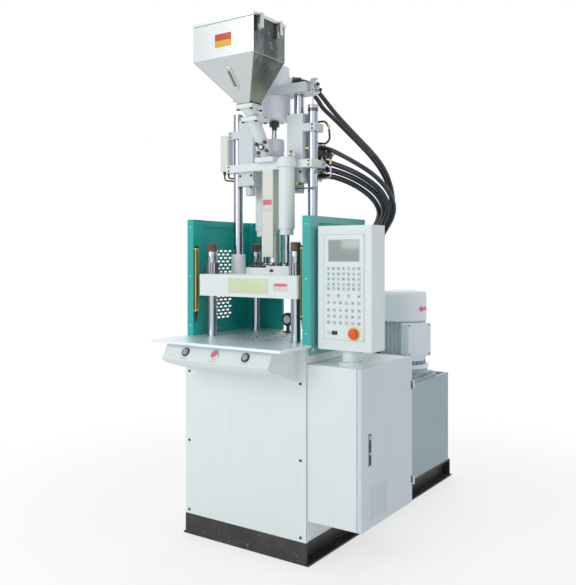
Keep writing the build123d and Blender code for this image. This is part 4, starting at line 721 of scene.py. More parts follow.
def circle(centre, radius, count, first=0.0, second=1):
    """Points round a circle that lies along X and a second axis."""
    spots = []
    for step in range(count):
        angle = math.radians(first + 360 / count * step)
        spot = list(centre)
        spot[0] += radius * math.cos(angle)
        spot[second] += radius * math.sin(angle)
        spots.append(tuple(spot))
    return spots


def shape(build):
    """Take a builder's sizes now and its mesh later."""
    return lambda *sizes, **options: lambda made: build(made, *sizes, **options)


print("points of a grid", grid((0, 1), 0, (0, 1)))


# %% Blocks
@shape
def block(made, low, high, bevel=0.6, at=Matrix()):
    """A block between two corners with bevelled edges."""
    low, high = Vector(low), Vector(high)
    box = at @ Matrix.Translation((low + high) / 2) @ Matrix.Diagonal((*(high - low), 1.0))
    verts = bmesh.ops.create_cube(made, size=1.0, matrix=box)["verts"]
    edges = list({edge for vert in verts for edge in vert.link_edges})
    bmesh.ops.bevel(made, geom=edges, offset=bevel, segments=2, affect="EDGES", profile=0.6)


# %% [markdown]
# A turned part is a list of rings, each a radius and a height. A ring may name a number of
# corners, and then it follows that polygon instead of a circle, which gives bolt heads and
# socket recesses. Neighbouring loops of points are always joined by the same band of faces.

# %% Turned parts
def add_band(made, low, high):
    """Faces between two loops of points; a side that has shrunk to one point makes triangles."""
    for step in range(len(low)):
        after = (step + 1) % len(low)
        corner = dict.fromkeys((low[step], low[after], high[after], high[step]))
        if len(corner) > 2:
            made.faces.new(list(corner))


@shape
def turned(made, profile, at=Matrix(), sides=24):
    """A turned part from (radius, height) rings; a third value makes that ring a polygon."""
    rings = []
    for radius, height, *corners in profile:
        if radius == 0:
            rings.append([made.verts.new(at @ Vector((0, 0, height)))] * sides)
            continue
        ring = []
        for step in range(sides):
            angle = 2 * math.pi * step / sides
            reach = radius
            if corners:
                half = math.pi / corners[0]
                reach = radius * math.cos(half) / math.cos(angle % (2 * half) - half)
            point = Vector((reach * math.cos(angle), reach * math.sin(angle), height))
            ring.append(made.verts.new(at @ point))
        rings.append(ring)
    if tuple(profile[0]) == tuple(profile[-1]):
        for vert in rings.pop():
            made.verts.remove(vert)
        rings.append(rings[0])
    for low, high in zip(rings, rings[1:]):
        add_band(made, low, high)


# %% Pipes
@shape
def pipe(made, corners, radius, bend, sides=14):
    """A round pipe along straight runs, bent to a radius at each corner."""
    corners = [Vector(corner) for corner in corners]
    line = [corners[0]]
    for before, corner, after in zip(corners, corners[1:], corners[2:]):
        first, second = before - corner, after - corner
        half = first.angle(second) / 2
        back = min(bend / math.tan(half), 0.48 * first.length, 0.48 * second.length)
        start = corner + first.normalized() * back
        end = corner + second.normalized() * back
        for step in range(7):
            t = step / 6
            line.append(start.lerp(corner, t).lerp(corner.lerp(end, t), t))
    line.append(corners[-1])
    across = (line[1] - line[0]).orthogonal().normalized()
    angles = [2 * math.pi * step / sides for step in range(sides)]
    rings = []
    for step, spot in enumerate(line):
        way = (line[min(step + 1, len(line) - 1)] - line[max(step - 1, 0)]).normalized()
        across = (across - way * across.dot(way)).normalized()
        beside = way.cross(across)
        rings.append([made.verts.new(spot + (across * math.cos(a) + beside * math.sin(a)) * radius)
                      for a in angles])
    for low, high in zip(rings, rings[1:]):
        add_band(made, low, high)
    made.faces.new(rings[0][::-1])
    made.faces.new(rings[-1])


# %% Screws and bolts
SOCKET_HEAD = [(0, 0), (1.0, 0), (1.0, 0.85), (0.88, 1.0), (0.60, 1.0, 6), (0.56, 0.45, 6), (0, 0.45)]
HEX_HEAD = [(0, 0), (1.5, 0), (1.5, 0.18), (1.16, 0.2), (1.16, 0.2, 6), (1.16, 0.82, 6),
            (0.92, 0.98), (0, 0.98)]
PAN_HEAD = [(0, 0), (1.0, 0), (1.0, 0.2), (0.8, 0.5), (0.4, 0.66), (0.22, 0.66, 4), (0.16, 0.3, 4),
            (0, 0.3)]


@shape
def heads(made, places, way, radius, profile=SOCKET_HEAD, tall=1.0, twist=17.0):
    """The same screw head at each place, all facing one way, each turned a little further."""
    size = Matrix.Diagonal((radius, radius, radius * tall, 1.0))
    for number, place in enumerate(places):
        turned(profile, stand(place, way, twist * number) @ size)(made)


# %% From shapes to a piece
SHARP_ANGLE = math.radians(35)


def make_piece(name, finish, body, slot, *shapes):
    """Build a piece from its shapes, give it a finish and let it ride on a body."""
    made = bmesh.new()
    for add in shapes:
        add(made)
    bmesh.ops.recalc_face_normals(made, faces=made.faces)
    data = bpy.data.meshes.new(name)
    made.to_mesh(data)
    made.free()
    data.transform(Matrix.Scale(0.001, 4))
    data.materials.append(finish)
    data.shade_smooth()
    data.set_sharp_from_angle(angle=SHARP_ANGLE)
    piece = bpy.data.objects.new(name, data)
    bpy.context.scene.collection.objects.link(piece)
    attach(piece, body)
    print(name, "faces", len(data.polygons))


# %% [markdown]
# Sheet metal is held by screws near its folded edges, and a dark line shows wherever two sheets
# meet. The lines are thin rubber strips set in the gaps, not painted on, so they stay in place
# from every side. The left side of the body has the service panel with a flush black pull.

# %% Body panels and their screws
SIDE_ROWS = ((-226, 40), (130, 440, 770))
make_piece("panel_screws", black_oxide, "frame", "dark_steel",
    heads(grid((-324, 322), -815, (792, 457, 120)), FRONT, 5.5),
    heads(grid(-353, (-745, -310), (175, 400, 660, 885)), LEFT, 5.0),
    heads(grid((-320, 0, 320), 793, (150, 560)), BACK, 5.0),
    heads(grid(350, *SIDE_ROWS), RIGHT, 5.0),
    heads(grid(-350, *SIDE_ROWS), LEFT, 5.0))
make_piece("service_panels", white_coat, "frame", "white_paint",
    block((-353, -765, 155), (-350, -290, 905), 1.2),
    block((-330, 790, 130), (330, 793, 585), 1.2))
make_piece("panel_pull", black_plastic, "frame", "black_plastic",
    block((-356, -575, 560), (-353, -495, 690), 1.4),
    turned([(0, 0), (26, 0), (26, 2.0), (22, 2.6), (20, 1.0), (0, 1.0)],
           stand((-356, -535, 625), LEFT), 32))

# %% Dark lines between sheets
make_piece("panel_gaskets", black_plastic, "frame", "black_plastic",
    *[block((x, low, 101), (x + 1.5, high, top), 0.2) for x in (-350.4, 348.9)
      for low, high, top in ((-812.2, -811.0, 955), (-241.0, -239.0, 799), (59.0, 61.0, 635))],
    block((-349.6, -815.3, 99.2), (349.6, -812.0, 100.4), 0.2),
    block((348.5, -809, 877.2), (350.6, -309, 878.6), 0.2))

# %% Weld beads along the skid
BEAD = [(0, 4.0), (2.4, 3.2), (4.0, 1.2), (4.4, -1.0)]
BEAD_PITCH = 9
oval = Matrix.Diagonal((1, 1.3, 0.75, 1))
beads = []
for start, end in ((-800, -250), (-225, 45), (75, 780)):
    for side in SIDES:
        count = int((end - start) / BEAD_PITCH)
        for step in range(count):
            spot = (side * 350.5, start + (end - start) * (step + 0.5) / count, 100)
            beads.append(turned(BEAD, stand(spot, (side, 0, 0.9)) @ oval, 8))
make_piece("skid_welds", black_paint, "frame", "black_paint", *beads)

# %% [markdown]
# The console's two start buttons stand in black turned rings and the stop button in a steel
# one, each with a small plate under it. The face leans, so everything on it is placed in the
# face's own axes: right, up along the face, and out of it. The hopper's front slope gets its
# axes from the same function later.

# %% Console trim
def leaning_face(up, foot):
    """The axes of a face that leans in the plane of Y and Z, and the way out of it."""
    up = Vector((0, *up)).normalized()
    out = Vector((0, -up.z, up.y))
    axes = Matrix(((1, 0, 0, 0), (0, up.y, out.y, foot[0]), (0, up.z, out.z, foot[1]), (0, 0, 0, 1)))
    return axes, out


console, console_out = leaning_face((41, 71), (-1011.5, 915.5))
COLLAR = [(14.5, 0), (21, 0), (21, 3.4), (19.6, 5.4), (16.0, 6.4), (14.5, 5.4), (14.5, 0)]
for name, places, finish, slot in (("start_rings", (-170, 170), black_oxide, "dark_steel"),
                                   ("stop_ring", (0,), steel_turned, "steel")):
    make_piece(name, finish, "frame", slot,
        *[turned(COLLAR, console @ Matrix.Translation((x, 0, 0)), 40) for x in places])
make_piece("console_screws", zinc, "frame", "steel",
    heads([console @ Vector((x, 0, 0)) for x in (-288, 288)], console_out, 3.4, PAN_HEAD))
make_piece("button_plates", pale_plastic, "frame", "white_paint",
    *[block((x - 21, -35.5, 0), (x + 21, -25.5, 0.9), 0.35, console) for x in (-170, 0, 170)])

# %% [markdown]
# The light curtain bars are yellow extrusions with a dark acrylic window down the middle, a
# dark strip on the inner side and black end caps. Each has a short plug at its foot.

# %% Light curtains
PLUG = [(0, 0), (6, 0), (6, 16), (4, 20), (4, 40), (0, 40)]
windows, caps = [], []
for side in SIDES:
    x, inner = side * 311.5, side * 304.4
    windows += [block((x - 3.6, -795.4, 1086), (x + 3.6, -793.5, 1383), 0.5),
                block((inner - 0.9, -788, 1092), (inner + 0.9, -779, 1377), 0.4)]
    caps += [block((x - 6.8, -794.5, low), (x + 6.8, -771.5, high), 2.0)
             for low, high in ((1068, 1081), (1388, 1399))]
    caps.append(turned(PLUG, stand((x, -783, 1069), DOWN)))
make_piece("curtain_windows", black_plastic, "frame", "black_plastic", *windows)
make_piece("curtain_caps", black_plastic, "frame", "black_plastic", *caps)

# %% Guard bolts
bolts = []
for side in SIDES:
    bolts += [heads(grid(side * 356, (-770, -700, -625, -550), 938), (side, 0, 0), 6.0, HEX_HEAD),
              heads(grid(side * 337, -796, (1010, 1250, 1490)), FRONT, 4.2, PAN_HEAD),
              heads(grid((side * 200, side * 300), -291, (1000, 1240, 1490)), BACK, 4.2, PAN_HEAD)]
make_piece("guard_bolts", zinc, "frame", "steel", *bolts)

# %% [markdown]
# Above each slotted nut the tie bar carries a ground sleeve and then its bare thread, browned
# by the oil that keeps it from rusting. The thread is a real ridge line, drawn as a stack of
# rings, because a bump map flattens out at the bar's edge.

# %% Tie bar sleeves and threads
AXIS_Y = -560
THREAD_PITCH = 3.0
SLEEVE = [(22.6, 1318.2), (26.0, 1318.2), (26.5, 1319.5), (26.5, 1343), (25.2, 1344), (25.2, 1346),
          (26.5, 1347), (26.5, 1369), (25.5, 1371), (22.6, 1371), (22.6, 1318.2)]
oiled_thread = moulded("oiled_thread", (0.16, 0.105, 0.085), (0.25, 0.18, 0.15), 0.34, 260.0)
thread = [(22.55, 1371)]
for turn in range(13):
    foot = 1371.4 + THREAD_PITCH * turn
    thread += [(23.2, foot), (24.6, foot + 1.1), (24.6, foot + 1.5), (23.2, foot + 2.6)]
thread += [(22.0, 1411.0), (20.0, 1413.4), (0, 1413.4)]
bars = [Matrix.Translation(spot) for spot in grid((-245, 245), (AXIS_Y - 179, AXIS_Y + 179), 0)]
make_piece("tie_bar_sleeves", chrome_bar, "clamp", "chrome",
    *[turned(SLEEVE, bar, 32) for bar in bars])
make_piece("tie_bar_threads", oiled_thread, "clamp", "dark_steel",
    *[turned(thread, bar, 32) for bar in bars])

# %% [markdown]
# The platen's front wears two plain plates. The riveted one is a pale green field with a thin
# frame line, the other is white with a red band. Four socket screws plug the eye bolt holes in
# the platen's top.

# %% Platen plates
plate_field = moulded("plate_field", (0.62, 0.70, 0.44), (0.66, 0.73, 0.52), 0.35)
make_piece("platen_plate", plate_field, "clamp", "white_paint",
    block((-103, -791.0, 1180), (126, -789.6, 1243), 0.4))
make_piece("platen_plate_frames", pale_plastic, "clamp", "white_paint",
    block((-107, -790.6, 1176), (130, -789.7, 1247), 0.3),
    block((156, -790.8, 1190), (238, -789.7, 1228), 0.3))
make_piece("platen_red_band", red_plastic, "clamp", "red",
    block((163, -791.3, 1213), (232, -790.6, 1225), 0.25))
make_piece("platen_rivets", zinc, "clamp", "steel",
    heads(grid((-99, 122), -790.6, (1184, 1239)), FRONT, 2.0, PAN_HEAD),
    heads(grid((-262, 262), (-655, -465), 1263), UP, 9.0))

# %% Screws of the ring seat, the rod feet and the column collars
RODS = ((135, -650), (-135, -470))
SEAT_TOP = 1295
FOOT_TOP = 1303
seat = [(x, y, z) for x, y, z in circle((0, AXIS_Y, SEAT_TOP), 118, 10, 18)
        if abs(x) < 40 or x * (y - AXIS_Y) > 0]
make_piece("seat_screws", black_oxide, "clamp", "dark_steel",
    heads(seat, UP, 8.5, twist=0),
    heads(grid((-62, -166), (-496, -444), FOOT_TOP), UP, 7.0),
    heads(grid((62, 166), (-676, -624), FOOT_TOP), UP, 7.0),
    heads([(-260, AXIS_Y, 1330)], LEFT, 6.0),
    heads([(260, AXIS_Y, 1330)], RIGHT, 6.0))

# %% Nuts at the feet of the rods
FOOT_NUT = [(14.2, 0), (24, 0), (24, 6), (21, 10), (14.2, 10), (14.2, 0)]
make_piece("rod_foot_nuts", steel_turned, "clamp", "steel",
    *[turned(FOOT_NUT, Matrix.Translation((*rod, FOOT_TOP)), 32) for rod in RODS])

# %% [markdown]
# The moving carriage is where the hydraulics are. Its blocks are clamped with socket screws,
# the pressure lines between them are bent steel tube with brass unions, and the hose ends are
# crimped ferrules behind hexagon nuts.

# %% Screws of the carriage
screws = []
for x in (-146, 146):
    screws += [heads(grid((x - 36, x + 36), (-591, -529), 2024), UP, 6.5),
               heads(grid((x - 34, x + 34), -600, (1690, 1748)), FRONT, 5.5)]
for side in SIDES:
    screws += [heads(grid(side * 244, -600, (1947, 1965)), FRONT, 4.0),
               heads(grid(side * 238, -620, (1776, 1794)), FRONT, 4.0)]
screws += [heads(circle((*rod, 1815), 27, 6, 30), UP, 4.6, twist=0) for rod in RODS]
make_piece("carriage_screws", black_oxide, "carriage", "dark_steel", *screws)

# %% Feed and neck bolts
bolts = []
for x in (-38, 38):
    bolts.append(heads(grid(x, (-636, -512), 1825), UP, 6.5, HEX_HEAD))
    for y, low, high in ((-724, 1980, 2000), (-761, 2033, 2053)):
        bolts += [heads(grid(x, (y - 37, y + 37), high), UP, 6.0, HEX_HEAD),
                  heads(grid(x, (y - 37, y + 37), low), DOWN, 6.0, HEX_HEAD)]
make_piece("neck_bolts", black_oxide, "carriage", "steel", *bolts)

# %% [markdown]
# The clean-out valve on the chute is a square flange with four round nuts about a short dark
# tube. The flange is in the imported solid; the nuts and the bore are added in its own axes.

# %% Clean-out valve
VALVE_TURN = math.radians(-72)
KNOB = [(0, 0), (8.5, 0), (9.2, 1.2), (9.2, 8.5), (8.2, 10), (5, 10), (4.2, 14), (0, 14)]
valve_out = Vector((math.cos(VALVE_TURN), math.sin(VALVE_TURN), 0))
chute_foot, chute_top = Vector((0, -611, 1825)), Vector((0, -724, 1980))
valve_foot = chute_foot.lerp(chute_top, 0.26)
valve_up = (chute_top - chute_foot).normalized()
valve_up = (valve_up - valve_out * valve_up.dot(valve_out)).normalized()
valve_side = valve_out.cross(valve_up)
nuts = [valve_foot + valve_out * 42 + valve_up * a + valve_side * b
        for a in (-21, 21) for b in (-21, 21)]
make_piece("valve_knobs", black_oxide, "carriage", "dark_steel",
    *[turned(KNOB, stand(nut, valve_out), 18) for nut in nuts])
make_piece("valve_mouth", black_plastic, "carriage", "black_plastic",
    turned([(0, 61), (9, 61), (9.5, 63.2), (13.6, 63.2), (14.4, 61.5), (14.4, 50), (13.2, 49)],
           stand(valve_foot, valve_out), 32))

# %% Steel tube runs
make_piece("steel_tubes", chrome_bar, "carriage", "chrome",
    pipe([(150, -600, 1800), (150, -640, 1800), (158, -660, 1812), (162, -668, 1790),
          (166, -660, 1700), (168, -605, 1690)], 4.0, 10),
    pipe([(146, -640, 1819), (146, -640, 1842), (170, -640, 1842), (170, -640, 1806)], 5.5, 11),
    pipe([(120, -601, 1668), (262, -601, 1668), (268, -601, 1675), (268, -601, 1740),
          (268, -560, 1752), (268, -505, 1752), (200, -490, 1752)], 4.0, 14),
    pipe([(200, -505, 1723), (292, -520, 1723), (298, -520, 1730), (298, -520, 1762),
          (262, -520, 1790), (210, -500, 1792)], 4.5, 14))

# %% Brass unions
UNION = [(0, -4), (7.5, -4, 6), (7.5, 6, 6), (6.2, 7), (6.2, 10), (8.4, 11, 6), (8.4, 20, 6),
         (5, 22), (0, 22)]
UNION_PLACES = (((150, -600, 1800), FRONT), ((168, -601, 1690), FRONT), ((146, -640, 1815), UP),
                ((120, -601, 1668), RIGHT), ((199, -490, 1752), RIGHT),
                ((199, -505, 1723), (1, 0.1, 0)), ((199, -500, 1792), RIGHT),
                ((191, -545, 1990), RIGHT), ((191, -575, 1860), RIGHT))
make_piece("brass_unions", brass, "carriage", "steel",
    *[turned(UNION, stand(spot, way)) for spot, way in UNION_PLACES])


# %% Hose ends
def crimps(radius, depth, first, pitch, count):
    """Rings for the grooves that a crimping tool leaves in a ferrule."""
    rings = []
    for foot in (first + pitch * groove for groove in range(count)):
        rings += [(radius, foot), (radius - depth, foot + 1), (radius, foot + 2)]
    return rings


ends = []
for z, r in ((1870, 11.0), (1803, 12.5), (1769, 12.5), (1735, 12.5)):
    rings = [(r * 0.6, -1), (r + 5, -1, 6), (r + 5, 11, 6), (r + 2, 12), (r + 2, 14), (r + 3.4, 15),
             *crimps(r + 3.4, 1.0, 19, 6, 3),
             (r + 3.0, 37), (r + 0.2, 38), (r * 0.6, 38), (r * 0.6, -1)]
    ends.append(turned(rings, stand((199, -470, z), RIGHT)))
make_piece("hose_ends", black_oxide, "carriage", "dark_steel", *ends)

# %% The black valve block beside the hoses
make_piece("valve_block", black_oxide, "carriage", "dark_steel",
    block((199, -497, 1819), (262, -445, 1856), 2.0),
    block((214, -540, 1822), (248, -497, 1853), 2.0),
    turned([(0, 0), (12, 0), (12, 16), (10, 18), (0, 18)], stand((262, -471, 1838), RIGHT)))
make_piece("valve_block_screws", zinc, "carriage", "steel",
    heads(grid((204, 257), -497, (1824, 1851)), FRONT, 3.2),
    heads([(280, -471, 1838)], RIGHT, 6.0, HEX_HEAD))

# %% Motor hose ends
ferrule = [(7, -14), (19, -14, 6), (19, 0, 6), (15, 1), (15, 3), (17.4, 4),
           *crimps(17.4, 1.2, 7, 5, 4), (16.0, 30), (11.2, 32), (7, 32), (7, -14)]
ways = [Vector((math.cos(angle), math.sin(angle), 0)) for angle in map(math.radians, (35, 65))]
make_piece("motor_hose_ends", black_oxide, "injection", "dark_steel",
    *[turned(ferrule, stand(Vector((0, AXIS_Y, 2208)) + way * 101, way)) for way in ways])

# %% [markdown]
# The cover of the barrel has two plain plates, one white and one red. The junction box has a
# screwed lid, and its cables run in black conduit down to the heater bands.

# %% Barrel cover plates
make_piece("cover_plate", pale_plastic, "carriage", "white_paint",
    block((-27, -618.3, 1564), (26, -617.3, 1596), 0.25))
make_piece("cover_red_plate", red_plastic, "carriage", "red",
    block((-27, -618.4, 1597), (26, -617.3, 1622), 0.25))
make_piece("cover_screws", zinc, "carriage", "steel",
    heads(grid((-24, 24), -617.5, (1365, 1500, 1640, 1750)), FRONT, 3.0, PAN_HEAD),
    heads(grid(-32, (-600, -530), (1500, 1740)), LEFT, 3.0, PAN_HEAD),
    heads(grid(32, (-600, -530), (1500, 1740)), RIGHT, 3.0, PAN_HEAD))

# %% Junction box lid and conduit
GLAND = [(0, 0), (9, 0), (9, 5), (8, 5, 6), (8, 12, 6), (6, 16), (0, 16)]
make_piece("junction_lid", cream_coat, "carriage", "white_paint",
    block((-306, -603.2, 1784), (-262, -599.5, 1955), 1.2))
make_piece("junction_screws", zinc, "carriage", "steel",
    heads(grid((-300, -268), -603.2, (1790, 1949)), FRONT, 3.0, PAN_HEAD),
    heads(grid(-312, (-590, -570), (1800, 1940)), LEFT, 3.0, PAN_HEAD))
make_piece("heater_conduit", black_plastic, "carriage", "black_plastic",
    *[turned(GLAND, stand((x, y, 1778), DOWN)) for x, y in ((-297, -580), (-275, -575))],
    pipe([(-297, -580, 1766), (-297, -580, 1735), (-200, -520, 1725), (-60, -498, 1725),
          (-36, -520, 1712), (-34, -535, 1500)], 4.2, 22),
    pipe([(-275, -575, 1766), (-275, -575, 1745), (-190, -508, 1738), (-60, -490, 1738),
          (-20, -498, 1720), (-14, -500, 1420)], 4.2, 22))

# %% [markdown]
# The hopper is the brightest and the darkest thing on the machine: polished sheet that mirrors
# a white room on one side and an unlit hall on the other, given here as painted reflection. Its
# sight glass lies in the sloping front, so it is built in that slope's own axes, with a frame,
# four screws and a slot of glass.

# %% Sight glass
SLOT_STEPS = 12
slope, slope_out = leaning_face((-158, 183), (-886.5, 2153.2))


def rounded_slot(half_width, half_length, height):
    """The outline of a slot with round ends, at a height over the slope."""
    spots = []
    for end, first in ((half_length - half_width, 0), (half_width - half_length, math.pi)):
        for step in range(SLOT_STEPS + 1):
            angle = math.pi * step / SLOT_STEPS + first
            spots.append(Vector((half_width * math.cos(angle),
                                 end + half_width * math.sin(angle), height)))
    return spots


@shape
def slot_ring(made, rings, filled=False):
    """Walls between slot outlines on the slope, each (half width, half length, height)."""
    loops = [[made.verts.new(slope @ spot) for spot in rounded_slot(*ring)] for ring in rings]
    for low, high in zip(loops, loops[1:]):
        add_band(made, low, high)
    if filled:
        made.faces.new(loops[-1])


make_piece("sight_frame", stainless, "carriage", "stainless",
    slot_ring([(18, 59, -1), (18, 59, 2.4), (17, 58, 3.2), (8.4, 42.4, 3.2), (7.6, 41.6, 2.4),
               (7.6, 41.6, -1), (18, 59, -1)]))
make_piece("sight_screws", zinc, "carriage", "steel",
    heads([slope @ Vector(spot) for spot in grid((-11, 11), (-47, 47), 3.0)], slope_out, 2.6,
          PAN_HEAD))

# %% [markdown]
# Seen through the slot, the granules are dark and rough under a pane of acrylic. The pane is
# not see-through here: a dark grainy ground under a clear coat reads the same and costs less.

# %% Pane over the granules
def sight_pane():
    pane = Finish("sight_pane")
    grain = pane.node("ShaderNodeTexVoronoi", None, {"Vector": pane.place(), "Scale": 260.0})
    shade = pane.blend(grain.rise(0.0, 0.8), (0.055, 0.070, 0.060), (0.16, 0.18, 0.16))
    return pane.set(Base_Color=shade, Roughness=0.30, Coat_Weight=1.0, Coat_Roughness=0.05)


make_piece("sight_pane", sight_pane(), "carriage", "black_plastic",
    slot_ring([(8.2, 42.2, -0.5), (8.2, 42.2, 1.2), (7.0, 41.0, 1.6)], True))

# %% Hopper plates and seams
label_red = moulded("label_red", (0.60, 0.055, 0.03), (0.52, 0.07, 0.04), 0.40)
label_yellow = moulded("label_yellow", (0.78, 0.43, 0.012), (0.70, 0.40, 0.03), 0.40)
make_piece("hopper_plate_low", label_yellow, "carriage", "yellow_paint",
    block((-44, -959.0, 2282), (48, -957.9, 2311), 0.3))
make_piece("hopper_plate_high", label_red, "carriage", "red",
    block((-44, -959.0, 2311.4), (48, -957.9, 2341), 0.3))

FOLD_Z = 2236
left_front, right_front, right_back, left_back = corners = (
    (-172, -958, FOLD_Z), (172, -958, FOLD_Z), (172, -722, FOLD_Z), (-172, -722, FOLD_Z))
seams = []
for x, y, z in corners:
    foot = (30 if x > 0 else -30, -800 if y < -900 else -722, 2053)
    seams += [pipe([(x, y, z), (x, y, 2404)], 1.5, 1, 10), pipe([foot, (x, y, z)], 1.7, 1, 10)]
for start, end in ((left_front, right_front), (right_front, right_back), (left_front, left_back)):
    seams.append(pipe([start, end], 1.2, 1, 10))
make_piece("hopper_seams", stainless, "carriage", "stainless", *seams)

# %% Latch hooks and lid grip
hooks = []
for y in (-920, -774):
    hooks += [block((171.5, y - 13, 2338), (174.5, y + 13, 2364), 0.8),
              pipe([(174, y - 8, 2346), (180, y - 8, 2342), (180, y + 8, 2342), (174, y + 8, 2346)],
                   1.8, 4, 10)]
make_piece("latch_hooks", dull_steel, "carriage", "steel", *hooks)
make_piece("lid_grip", steel_turned, "lid", "steel",
    pipe([(60, -870, 2409), (60, -870, 2424), (60, -810, 2424), (60, -810, 2409)], 4.0, 9))

# %% [markdown]
# The control panel's face is one printed film over membrane keys. The film has a thin grey
# border, the screen is a dull grey-green display, and each key wears a pale blue cap with a
# small dark mark. The marks are plain bars, one piece for all of them.

# %% Screen
def display():
    glass = Finish("display")
    rows = (glass.axis("Z") * 2400.0).wave() * 0.5 + 0.5
    haze = glass.noise(6.0, 3.0).rise(0.3, 0.8)
    base = glass.blend(haze * 0.5 + rows * 0.08, (0.255, 0.31, 0.30), (0.34, 0.39, 0.38))
    return glass.set(Base_Color=base, Roughness=0.22, Coat_Weight=0.6, Coat_Roughness=0.08)


def border(left, low, right, high, wide):
    """Four thin strips round a field of the panel's face."""
    strips = (((left, low), (right, low + wide)), ((left, high - wide), (right, high)),
              ((left, low + wide), (left + wide, high - wide)),
              ((right - wide, low + wide), (right, high - wide)))
    return [block((x0, -763.35, z0), (x1, -762.8, z1), 0.1) for (x0, z0), (x1, z1) in strips]


frame_grey = moulded("frame_grey", (0.30, 0.33, 0.34), (0.36, 0.39, 0.40), 0.42)
make_piece("screen_glass", display(), "panel", "keypad",
    block((433.5, -762.4, 1328), (582.5, -761.0, 1418), 0.3))
make_piece("face_lines", frame_grey, "panel", "keypad",
    *border(430.5, 1325, 585.5, 1421, 2), *border(409.5, 989.5, 606.5, 1442.5, 1.2))

# %% Key caps and their marks
key_blue = moulded("key_blue", (0.50, 0.62, 0.68), (0.58, 0.68, 0.73), 0.44)
mark_black = moulded("mark_black", (0.07, 0.09, 0.11), (0.12, 0.14, 0.16), 0.44)
PANEL_MIDDLE, KEYS_WIDE = 508, 150
KEY_ROWS = [(7, 1296), (7, 1273), (7, 1251), (7, 1228), (7, 1209), (4, 1179), (6, 1149), (6, 1117),
            (6, 1090), (6, 1063)]
FLAT, UPRIGHT = (-4.5, -1.0, 4.5, 1.0), (-1.0, -4.5, 1.0, 4.5)
OVER, UNDER = (-4.5, 2.6, 4.5, 4.2), (-4.5, -4.2, 1.5, -2.6)
MARKS = ((FLAT,), (FLAT, UPRIGHT), (FLAT, OVER, UNDER), (UPRIGHT,), (OVER, UNDER))
caps, marks = [], []
for row, (count, z) in enumerate(KEY_ROWS):
    for step in range(count):
        x = PANEL_MIDDLE + (step - (count - 1) / 2) * KEYS_WIDE / (count - 1)
        caps.append(block((x - 7.2, -765.1, z - 7.2), (x + 7.2, -763.9, z + 7.2), 0.5))
        for left, low, right, high in MARKS[(row * 3 + step * 2) % len(MARKS)]:
            marks.append(block((x + left, -765.5, z + low), (x + right, -764.9, z + high), 0.1))
make_piece("key_caps", key_blue, "panel", "keypad", *caps)
make_piece("key_marks", mark_black, "panel", "keypad", *marks)

# %% Port, key switch and the ring of the emergency stop
stop_yellow = moulded("stop_yellow", (0.83, 0.52, 0.05), (0.74, 0.46, 0.06), 0.34)
make_piece("data_port", black_plastic, "panel", "black_plastic",
    block((449, -764.0, 1010), (477, -762.6, 1027), 1.2),
    block((453, -764.6, 1013), (473, -763.6, 1024), 0.5))
make_piece("key_switch", steel_turned, "panel", "steel",
    turned([(0, 0), (8.2, 0), (8.2, 2.2), (7.2, 3.2), (3.4, 3.2), (3.0, 1.6, 4), (0, 1.6)],
           stand((434, -763.0, 1018), FRONT), 28))
make_piece("emergency_ring", stop_yellow, "panel", "yellow_paint",
    turned([(8.4, 0), (28.5, 0), (28.5, 1.6), (27.2, 2.4), (21.2, 2.4), (20.8, 0.5),
            (8.4, 0.5), (8.4, 0)], stand((559, -763.5, 1019), FRONT), 40))

# %% Back cover, its screws and vents
make_piece("panel_back_cover", white_coat, "panel", "white_paint",
    block((388, -638.4, 962), (628, -635.6, 1463), 1.0))
make_piece("panel_screws_rear", zinc, "panel", "steel",
    heads(grid((398, 618), -635.6, (975, 1130, 1295, 1450)), BACK, 4.0, PAN_HEAD),
    heads(grid((414, 602), -763.0, (995, 1437)), FRONT, 2.4, PAN_HEAD))
make_piece("panel_vents", black_plastic, "panel", "black_plastic",
    *[block((440, -636.0, z), (576, -634.6, z + 5), 0.6) for z in range(1290, 1395, 13)])

# %% [markdown]
# The cabinet's door closes on a fold, and its two black hinge tabs and flush latch are what
# give it scale. The bolts of the swivel post and the seams of the sheets come from the same
# builders. The cabinet's back carries one plain plate.

# %% Cabinet trim
CABLE_GLAND = [(0, 0), (15, 0), (15, 6), (13, 6, 6), (13, 16, 6), (9, 20), (9, 26), (0, 26)]
make_piece("hinge_tabs", black_plastic, "frame", "black_plastic",
    block((616.2, -322, 725), (618.6, -306.5, 763), 0.7),
    block((616.2, -322, 285), (618.6, -306.5, 318), 0.7),
    block((612.5, -741, 461), (616.9, -740.0, 595), 0.2))
make_piece("post_screws", zinc, "frame", "steel", heads(circle((508, -699, 889), 45, 6, 30), UP, 5.0))
make_piece("cabinet_seams", frame_grey, "frame", "black_paint",
    block((596.2, -805.6, 199), (597.2, -804.9, 873), 0.2),
    block((596.2, -805, 876.6), (597.2, -308, 877.5), 0.2),
    block((354, -308.2, 199), (596, -307.4, 200.2), 0.2))
make_piece("cabinet_plate", pale_plastic, "frame", "white_paint",
    block((380, -307.9, 640), (480, -306.6, 700), 0.5))
make_piece("cabinet_screws", zinc, "frame", "steel",
    heads(grid((384, 476), -307.0, (645, 695)), BACK, 2.2, PAN_HEAD),
    heads(grid((372, 575), -308.0, (225, 850)), BACK, 4.5, PAN_HEAD))
make_piece("cable_glands", black_plastic, "frame", "black_plastic",
    *[turned(CABLE_GLAND, stand((x, -450, 195), DOWN)) for x in (400, 455, 510)])

# %% Latch detail
make_piece("latch_button", steel_turned, "latch_handle", "steel",
    turned([(0, 0), (6.5, 0), (6.5, 1.2), (5.6, 1.9), (2.2, 1.9), (2.0, 0.8), (0, 0.8)],
           stand((616.8, -729, 512), RIGHT), 28),
    block((616.8, -735, 570), (618.3, -723, 590), 0.5))

# %% [markdown]
# The tank end of the machine is seen mostly from behind: an oil level gauge, a breather, a
# round cleaning cover and a drain plug. The motor has a lid and screws on its terminal box, two
# cable glands under it and a plain arrow for its sense of rotation.

